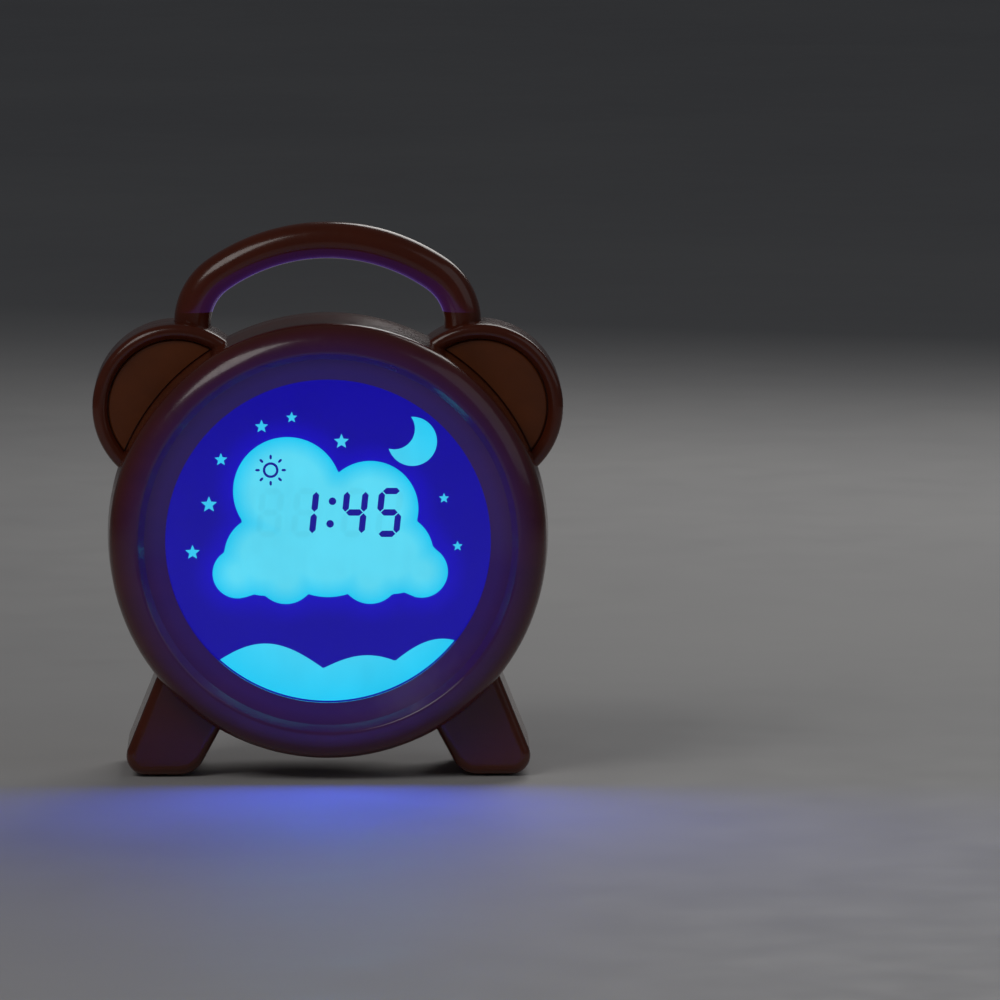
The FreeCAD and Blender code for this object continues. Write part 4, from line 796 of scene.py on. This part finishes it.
class CLOCK_OT_time_digits(bpy.types.Operator):
    """Seven-segment time, its colon and the faint unlit segments behind them"""
    bl_idname = "clock.time_digits"
    bl_label = "Time digits"

    def execute(self, context):
        shown, glow = tuple(colours().ink), tuple(colours().glow)
        ink = lit_layer("blue_lit_ink", shown, shade(shown, 1.2))
        faint = cloud_light("unlit_segment", shade(glow, 0.95), shade(GLOW_RIM, 0.95), -GLOW_EDGE, 0.0)
        lit, unlit = bmesh.new(), bmesh.new()
        tall, stroke = sizes().digit_height, sizes().digit_stroke
        step = tall * DIGIT_WIDTH_SHARE + stroke * DIGIT_GAP_STROKES
        colon_room = stroke * COLON_ROOM_STROKES
        first = DIGIT_START_X
        places = (("", first - step), ("1", first), ("4", first + step + colon_room),
                  ("5", first + 2 * step + colon_room))
        for text, x in places:
            for name in SEGMENTS["8"]:
                form = lit if name in SEGMENTS.get(text, "") else unlit
                self.add_segment(form, name, x)
        for level in (0.27, 0.73):
            x, z = self.leant(first + step + colon_room * COLON_SHARE, tall * level)
            add_plate(lit, circle_points(x, z, stroke * COLON_DOT_STROKES, 24), layer(3), layer_thickness())
        mesh_piece("time_digits", lit, ink)
        mesh_piece("unlit_segments", unlit, faint)
        return {"FINISHED"}

    def leant(self, x, height):
        """Place on the display of a point of a leaning digit."""
        return x + math.tan(sizes().digit_slant) * height, AXIS_Z + DIGIT_FOOT_Z + height

    def add_segment(self, form, name, x):
        bar = bar_outline(*self.segment(name), sizes().digit_stroke)
        add_plate(form, [self.leant(x + px, pz) for px, pz in bar], layer(3), layer_thickness())

    def segment(self, name):
        """Ends of one segment inside its digit."""
        tall, stroke = sizes().digit_height, sizes().digit_stroke
        gap = stroke * SEGMENT_GAP_SHARE
        low, mid, high = stroke / 2, tall / 2, tall - stroke / 2
        left, right = stroke / 2, tall * DIGIT_WIDTH_SHARE - stroke / 2
        level = {"a": high, "g": mid, "d": low}.get(name)
        if level is not None:
            return left + gap, level, right - gap, level
        x = right if name in "bc" else left
        top, foot = (high, mid) if name in "bf" else (mid, low)
        return x, top - gap, x, foot + gap


ICON_X, ICON_Z, ICON_STROKE = -19.0 * MM, 23.5 * MM, 0.8 * MM
ICON_RADIUS, ICON_RAY_START, ICON_RAY_END = 2.6 * MM, 3.5 * MM, 5.2 * MM


class CLOCK_OT_display_icon(bpy.types.Operator):
    """Small sun beside the time"""
    bl_idname = "clock.display_icon"
    bl_label = "Display icon"

    def execute(self, context):
        form = bmesh.new()
        add_sun(form, ICON_X, AXIS_Z + ICON_Z, ICON_RADIUS, ICON_RAY_START, ICON_RAY_END, ICON_STROKE,
                layer(3), layer_thickness())
        mesh_piece("display_icon", form, bpy.data.materials["blue_lit_ink"])
        return {"FINISHED"}


BAR_REACH = 2.0 * MM
DIAL_RADIUS, DIAL_LONG_HAND, DIAL_SHORT_HAND = 2.3 * MM, 1.5 * MM, 1.0 * MM
SUN_RADIUS, SUN_RAY_START, SUN_RAY_END = 1.2 * MM, 1.6 * MM, 2.5 * MM
BELL_OUTLINE = ([(-2.1, -1.3), (2.1, -1.3), (1.5, -0.5), (1.4, 0.7)]
                + [(1.4 * math.cos(t), 0.7 + 1.2 * math.sin(t)) for t in (0.5, 1.0, 1.57, 2.14, 2.64)]
                + [(-1.4, 0.7), (-1.5, -0.5)])
BELL_CLAPPER_DROP, BELL_CLAPPER_RADIUS = 1.95 * MM, 0.5 * MM
PANEL_DEPTH = 1.5 * MM
SLIDE_MARK_RISE, SLIDE_MARK_RADIUS = 2.6 * MM, 1.3 * MM
SLIDE_OFF_SHIFT, SLIDE_ON_SHIFT = 0.5 * MM, 3.0 * MM


class CLOCK_OT_key_marks(bpy.types.Operator):
    """Raised marks on the rear keys and beside the slide switch"""
    bl_idname = "clock.key_marks"
    bl_label = "Key marks"

    def execute(self, context):
        cream = satin_plastic("cream_print", (0.62, 0.50, 0.36))
        for node, body, mark in (
            ("plus_button", "plus_key", self.plus),
            ("minus_button", "minus_key", self.minus),
            ("time_button", "time_key", self.dial),
            ("alarm_button", "alarm_key", self.bell),
            ("wake_button", "wake_key", self.sun),
        ):
            low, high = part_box(node)
            form = bmesh.new()
            mark(form, (low.x + high.x) / 2, (low.z + high.z) / 2, high.y - MARK_SINK)
            mesh_piece(node + "_mark", form, cream, body)
        low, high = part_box("alarm_switch_knob")
        form = bmesh.new()
        face = REAR_FACE - PANEL_DEPTH - MARK_SINK
        z = high.z + SLIDE_MARK_RISE
        x = (low.x + high.x) / 2 - SLIDE_OFF_SHIFT
        add_ring(form, x, z, SLIDE_MARK_RADIUS, sizes().mark_stroke, face, sizes().mark_height)
        x = high.x + SLIDE_ON_SHIFT
        self.bar(form, x, z - SLIDE_MARK_RADIUS, x, z + SLIDE_MARK_RADIUS, face)
        mesh_piece("slide_marks", form, cream)
        return {"FINISHED"}

    def bar(self, form, x0, z0, x1, z1, face):
        add_plate(form, bar_outline(x0, z0, x1, z1, sizes().mark_stroke), face, sizes().mark_height)

    def plus(self, form, x, z, face):
        self.minus(form, x, z, face)
        half = sizes().mark_stroke / 2
        self.bar(form, x, z + half, x, z + BAR_REACH, face)
        self.bar(form, x, z - BAR_REACH, x, z - half, face)

    def minus(self, form, x, z, face):
        self.bar(form, x - BAR_REACH, z, x + BAR_REACH, z, face)

    def dial(self, form, x, z, face):
        add_ring(form, x, z, DIAL_RADIUS, sizes().mark_stroke, face, sizes().mark_height)
        self.bar(form, x, z, x, z + DIAL_LONG_HAND, face)
        self.bar(form, x, z, x - DIAL_SHORT_HAND, z, face)

    def bell(self, form, x, z, face):
        add_plate(form, [(x + a * MM, z + b * MM) for a, b in BELL_OUTLINE], face, sizes().mark_height)
        clapper = circle_points(x, z - BELL_CLAPPER_DROP, BELL_CLAPPER_RADIUS, 16)
        add_plate(form, clapper, face, sizes().mark_height)

    def sun(self, form, x, z, face):
        add_sun(form, x, z, SUN_RADIUS, SUN_RAY_START, SUN_RAY_END, sizes().mark_stroke, face,
                sizes().mark_height)


CLOTH_RADIUS, CLOTH_GAP = 12.6 * MM, 0.02 * MM


class CLOCK_OT_speaker_cloth(bpy.types.Operator):
    """Dark cloth between the speaker and its grille"""
    bl_idname = "clock.speaker_cloth"
    bl_label = "Speaker cloth"

    def execute(self, context):
        low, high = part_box("speaker_frame")
        disc = circle_points((low.x + high.x) / 2, (low.z + high.z) / 2, CLOTH_RADIUS, 64)
        cloth = speaker_weave("speaker_cloth_weave", (0.008, 0.008, 0.009), (0.03, 0.03, 0.032))
        plate_piece("speaker_cloth", disc, high.y + CLOTH_GAP, PRINT_THICKNESS, cloth)
        return {"FINISHED"}


HEAD_RADIUS, HEAD_DEPTH = 3.0 * MM, 2.0 * MM
CORE_RADIUS, ROOT_SHARE = 1.4 * MM, 0.84
TIP_LENGTH, THREAD_TOP, THREAD_PITCH = 1.5 * MM, 4.2 * MM, 0.9 * MM
CREST_RISE, ROOT_RISE = 0.3 * MM, 0.75 * MM
CROSS_REACH, CROSS_HALF = 1.7 * MM, 0.42 * MM
CROSS_DEPTH, CROSS_TAPER = 0.95 * MM, 0.8
SCREW_POINTS = 48


class CLOCK_OT_housing_screws(bpy.types.Operator):
    """Four cross-recessed screws in the wells of the rear housing"""
    bl_idname = "clock.housing_screws"
    bl_label = "Housing screws"

    def execute(self, context):
        low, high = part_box("housing_screws")
        places = [(x, high.y, z) for x, z in self.places(low, high)]
        steel = bpy.data.materials["plated_steel"]
        screw = self.screw(high.y - low.y, steel)
        piece = repeated_piece("recessed_screws", places, [1.0] * len(places), screw, steel)
        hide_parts("housing_screws")
        return {"FINISHED"}

    def places(self, low, high):
        """Centres of the screw heads, read from the solid's own vertices."""
        points = [v.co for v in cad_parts["housing_screws"].data.vertices if v.co.y > high.y - 0.01 * MM]
        found = []
        for upper in (True, False):
            for right in (True, False):
                group = [p for p in points if (p.z > (low.z + high.z) / 2) == upper and (p.x > 0) == right]
                xs, zs = [p.x for p in group], [p.z for p in group]
                found.append(((min(xs) + max(xs)) / 2, (min(zs) + max(zs)) / 2))
        return found

    def screw(self, length, steel):
        """One screw about the Y axis, its head's face at Y zero and its shank towards -Y."""
        corner = math.atan2(CROSS_HALF / MM, CROSS_REACH / MM)
        turns = sorted({math.tau * i / SCREW_POINTS for i in range(SCREW_POINTS)}
                       | {q * math.pi / 2 + side * corner for q in range(4) for side in (-1, 1)})
        core, head = CORE_RADIUS, HEAD_RADIUS
        y = -length + TIP_LENGTH
        profile = [(0.35 * core, -length), (0.9 * core, y)]
        while y < -THREAD_TOP:
            profile += [(core, y + CREST_RISE), (core * ROOT_SHARE, y + ROOT_RISE)]
            y += THREAD_PITCH
        profile += [(core, -HEAD_DEPTH - 0.1 * MM), (core, -HEAD_DEPTH), (head - 0.15 * MM, -HEAD_DEPTH),
                    (head, -HEAD_DEPTH + 0.15 * MM), (head, -0.9 * MM), (head * 0.93, -0.35 * MM),
                    (head * 0.76, -0.05 * MM), (head * 0.7, 0.0)]
        rings = [[(radius * math.cos(t), y, radius * math.sin(t)) for t in turns] for radius, y in profile]
        rings.append([self.cross(t, 1.0, 0.0) for t in turns])
        rings.append([self.cross(t, CROSS_TAPER, -CROSS_DEPTH) for t in turns])
        form = bmesh.new()
        add_skin(form, rings)
        return form_object("screw", form, steel)

    def cross(self, turn, share, y):
        """Point on the outline of the cross recess in a direction."""
        reach, half = CROSS_REACH * share, CROSS_HALF * share
        along, across = abs(math.cos(turn)), abs(math.sin(turn))
        radius = max(min(reach / max(along, 1e-9), half / max(across, 1e-9)),
                     min(reach / max(across, 1e-9), half / max(along, 1e-9)))
        return radius * math.cos(turn), y, radius * math.sin(turn)


ARROW_OUTLINE = ((-1.3, 3.4), (1.3, 3.4), (1.3, 0.0), (3.1, 0.0), (0.0, -3.6), (-3.1, 0.0), (-1.3, 0.0))
ARROW_DROP = 13.5 * MM
CELL_PITCH, POLARITY_X, POLARITY_RISE = 11.2 * MM, 17.0 * MM, 0.14 * MM
POLARITY_STROKE, POLARITY_REACH = 0.5 * MM, 1.3 * MM


class CLOCK_OT_battery_marks(bpy.types.Operator):
    """Plus and minus marks on the floor of the battery bay and the arrow on its lid"""
    bl_idname = "clock.battery_marks"
    bl_label = "Battery marks"

    def execute(self, context):
        cream = bpy.data.materials["cream_print"]
        lid_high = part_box("battery_door")[1]
        arrow = [(x * MM, lid_high.z - ARROW_DROP + z * MM) for x, z in ARROW_OUTLINE]
        plate_piece("lid_arrow", arrow, lid_high.y - MARK_SINK, PRINT_THICKNESS, cream,
                    "battery_lid")
        low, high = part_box("battery_cells")
        form = bmesh.new()
        for row in (-0.5, 0.5):
            z = (low.z + high.z) / 2 + row * CELL_PITCH
            for side in (-1, 1):
                self.mark(form, side * POLARITY_X, z, low.y - POLARITY_RISE, side * row > 0)
        mesh_piece("polarity_marks", form, cream)
        return {"FINISHED"}

    def mark(self, form, x, z, face, plus):
        stroke, reach = POLARITY_STROKE, POLARITY_REACH
        bars = [(x - reach, z, x + reach, z)]
        if plus:
            bars += [(x, z + side * stroke / 2, x, z + side * reach) for side in (-1, 1)]
        for ends in bars:
            add_plate(form, bar_outline(*ends, stroke), face, PRINT_THICKNESS)


CRESCENT_RADIUS, CRESCENT_HALF = 3.0 * MM, math.radians(120)
BITE_RADIUS, BITE_SHIFT, BITE_HALF = 3.05 * MM, 1.73 * MM, math.radians(58.5)
CRESCENT_RISE, CRESCENT_SINK = 0.06 * MM, 0.05 * MM


class CLOCK_OT_light_button_mark(bpy.types.Operator):
    """Crescent on the night-light button, laid over its curved top"""
    bl_idname = "clock.light_button_mark"
    bl_label = "Light button mark"

    def execute(self, context):
        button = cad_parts["light_button"]
        low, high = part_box("light_button")
        bpy.context.view_layer.update()
        middle = (low.y + high.y) / 2
        outer = circle_points(0.0, 0.0, CRESCENT_RADIUS, 40, -CRESCENT_HALF, 2 * CRESCENT_HALF)
        inner = circle_points(-BITE_SHIFT, 0.0, BITE_RADIUS, 28, BITE_HALF, -2 * BITE_HALF)
        tops, bottoms = [], []
        for x, y in outer + inner[1:-1]:
            hit, place, _, _ = button.ray_cast(Vector((x, middle + y, high.z + 10 * MM)), Vector((0, 0, -1)))
            if not hit:
                raise RuntimeError("The light button has no top under its mark")
            tops.append((x, middle + y, place.z + CRESCENT_RISE))
            bottoms.append((x, middle + y, place.z - CRESCENT_SINK))
        form = bmesh.new()
        add_skin(form, [bottoms, tops])
        mesh_piece("light_button_mark", form, bpy.data.materials["cream_print"], "light_key")
        return {"FINISHED"}


FLOOR_SIZE = 12.0
SENSOR_WIDTH = 36.0
AIR_COLOUR = (0.9, 0.93, 1.0)
SPILL_GAP = 2 * MM
HANDLE_DROP, HANDLE_SPILL_SHARE = 30 * MM, 0.045
HANDLE_SPILL_SIZE, HANDLE_SPILL_COLOUR = (0.10, 0.05), (0.22, 0.10, 1.0)
STUDIO_LIGHTS = (
    ("key_light", (-0.55, -0.75, 0.95), (0, 0, 0.1), 0.55, "key_power", (1.0, 0.97, 0.93)),
    ("fill_light", (0.9, -0.5, 0.7), (0, 0, 0.08), 0.9, "fill_power", (0.93, 0.96, 1.0)),
    ("rear_light", (0.35, 0.95, 0.75), (0, 0, 0.1), 0.6, "rear_power", (1.0, 0.98, 0.95)),
)


class CLOCK_OT_stage(bpy.types.Operator):
    """Pale floor, soft studio light and the camera at the picture's angle"""
    bl_idname = "clock.stage"
    bl_label = "Stage"

    def execute(self, context):
        stage = context.scene.clock_stage
        self.floor()
        self.camera(context, stage)
        self.lights(context, stage)
        context.scene.view_settings.view_transform = "Standard"
        return {"FINISHED"}

    def floor(self):
        form = bmesh.new()
        bmesh.ops.create_grid(form, x_segments=8, y_segments=8, size=FLOOR_SIZE)
        mesh = bpy.data.meshes.new("floor")
        form.to_mesh(mesh)
        form.free()
        mesh.materials.append(plain_floor())
        linked_object("floor", mesh)

    def camera(self, context, stage):
        data = bpy.data.cameras.new("camera")
        camera = linked_object("camera", data)
        data.sensor_width = SENSOR_WIDTH
        data.clip_end = 100.0
        data.lens = SENSOR_WIDTH * stage.distance / (IMAGE_SIZE / stage.pixels_per_metre)
        tilt = stage.elevation
        back = Vector((0, -math.cos(tilt), math.sin(tilt)))
        up = Vector((0, math.sin(tilt), math.cos(tilt)))
        crest = Vector((0, cad_box[0].y, AXIS_Z))
        right_shift = (IMAGE_SIZE / 2 - stage.axis_pixel_x) / stage.pixels_per_metre
        up_shift = (stage.axis_pixel_y - IMAGE_SIZE / 2) / stage.pixels_per_metre
        target = crest + Vector((right_shift, 0, 0)) + up * up_shift
        camera.location = crest + back * stage.distance + up * up_shift
        camera.rotation_mode = "QUATERNION"
        camera.rotation_quaternion = (target - camera.location).to_track_quat("-Z", "Y")
        context.scene.camera = camera

    def lights(self, context, stage):
        for name, place, target, size, power, colour in STUDIO_LIGHTS:
            self.area(name, place, target, size, getattr(stage, power), colour)
        spill = self.area("display_spill", (0, FRONT_FACE - SPILL_GAP, AXIS_Z), (0, -1, AXIS_Z), 2 * WINDOW_R,
                          stage.spill_power, tuple(colours().spill))
        spill.data.shape = "DISK"
        spill.visible_camera = spill.visible_glossy = spill.visible_transmission = False
        under = self.area("handle_spill", (0, 0, cad_box[1].z - HANDLE_DROP), (0, 0, 1.0),
                          HANDLE_SPILL_SIZE[0], stage.spill_power * HANDLE_SPILL_SHARE, HANDLE_SPILL_COLOUR)
        under.data.shape = "RECTANGLE"
        under.data.size_y = HANDLE_SPILL_SIZE[1]
        under.visible_camera = False
        world = bpy.data.worlds.new("air")
        context.scene.world = world
        world.use_nodes = True
        background = world.node_tree.nodes["Background"]
        background.inputs["Color"].default_value = (*AIR_COLOUR, 1)
        background.inputs["Strength"].default_value = stage.air

    def area(self, name, place, target, size, power, colour):
        data = bpy.data.lights.new(name, "AREA")
        data.energy = power
        data.size = size
        data.color = colour
        light = linked_object(name, data)
        light.location = place
        light.rotation_mode = "QUATERNION"
        light.rotation_quaternion = (Vector(target) - Vector(place)).to_track_quat("-Z", "Y")
        return light


class CLOCK_PT_panel(bpy.types.Panel):
    """Lists the sizes, the colours and the pieces in the order they are made"""
    bl_idname = "CLOCK_PT_panel"
    bl_label = "Bedside clock"
    bl_space_type = "VIEW_3D"
    bl_region_type = "UI"
    bl_category = "Clock"

    def draw(self, context):
        for group in (context.scene.clock_sizes, context.scene.clock_colours, context.scene.clock_stage):
            for name in group.__annotations__:
                self.layout.prop(group, name)
        for operator in OPERATORS:
            self.layout.operator(operator.bl_idname)


GROUPS = {"clock_sizes": ClockSizes, "clock_colours": ClockColours, "clock_stage": StageSettings}
OPERATORS = (CLOCK_OT_housings, CLOCK_OT_pads_and_keys, CLOCK_OT_inner_parts, CLOCK_OT_lit_film,
             CLOCK_OT_lit_shapes, CLOCK_OT_lit_stars, CLOCK_OT_time_digits, CLOCK_OT_display_icon,
             CLOCK_OT_key_marks, CLOCK_OT_speaker_cloth, CLOCK_OT_housing_screws, CLOCK_OT_battery_marks,
             CLOCK_OT_light_button_mark, CLOCK_OT_stage)


def register():
    for name, group in GROUPS.items():
        bpy.utils.register_class(group)
        setattr(bpy.types.Scene, name, bpy.props.PointerProperty(type=group))
    for operator in OPERATORS:
        bpy.utils.register_class(operator)
    bpy.utils.register_class(CLOCK_PT_panel)


def unregister():
    bpy.utils.unregister_class(CLOCK_PT_panel)
    for operator in reversed(OPERATORS):
        bpy.utils.unregister_class(operator)
    for name, group in GROUPS.items():
        delattr(bpy.types.Scene, name)
        bpy.utils.unregister_class(group)


def main():
    register()
    bpy.ops.clock.housings()
    bpy.ops.clock.pads_and_keys()
    bpy.ops.clock.inner_parts()
    bpy.ops.clock.lit_film()
    bpy.ops.clock.lit_shapes()
    bpy.ops.clock.lit_stars()
    bpy.ops.clock.time_digits()
    bpy.ops.clock.display_icon()
    bpy.ops.clock.key_marks()
    bpy.ops.clock.speaker_cloth()
    bpy.ops.clock.housing_screws()
    bpy.ops.clock.battery_marks()
    bpy.ops.clock.light_button_mark()
    bpy.ops.clock.stage()


if __name__ == "__main__":
    main()
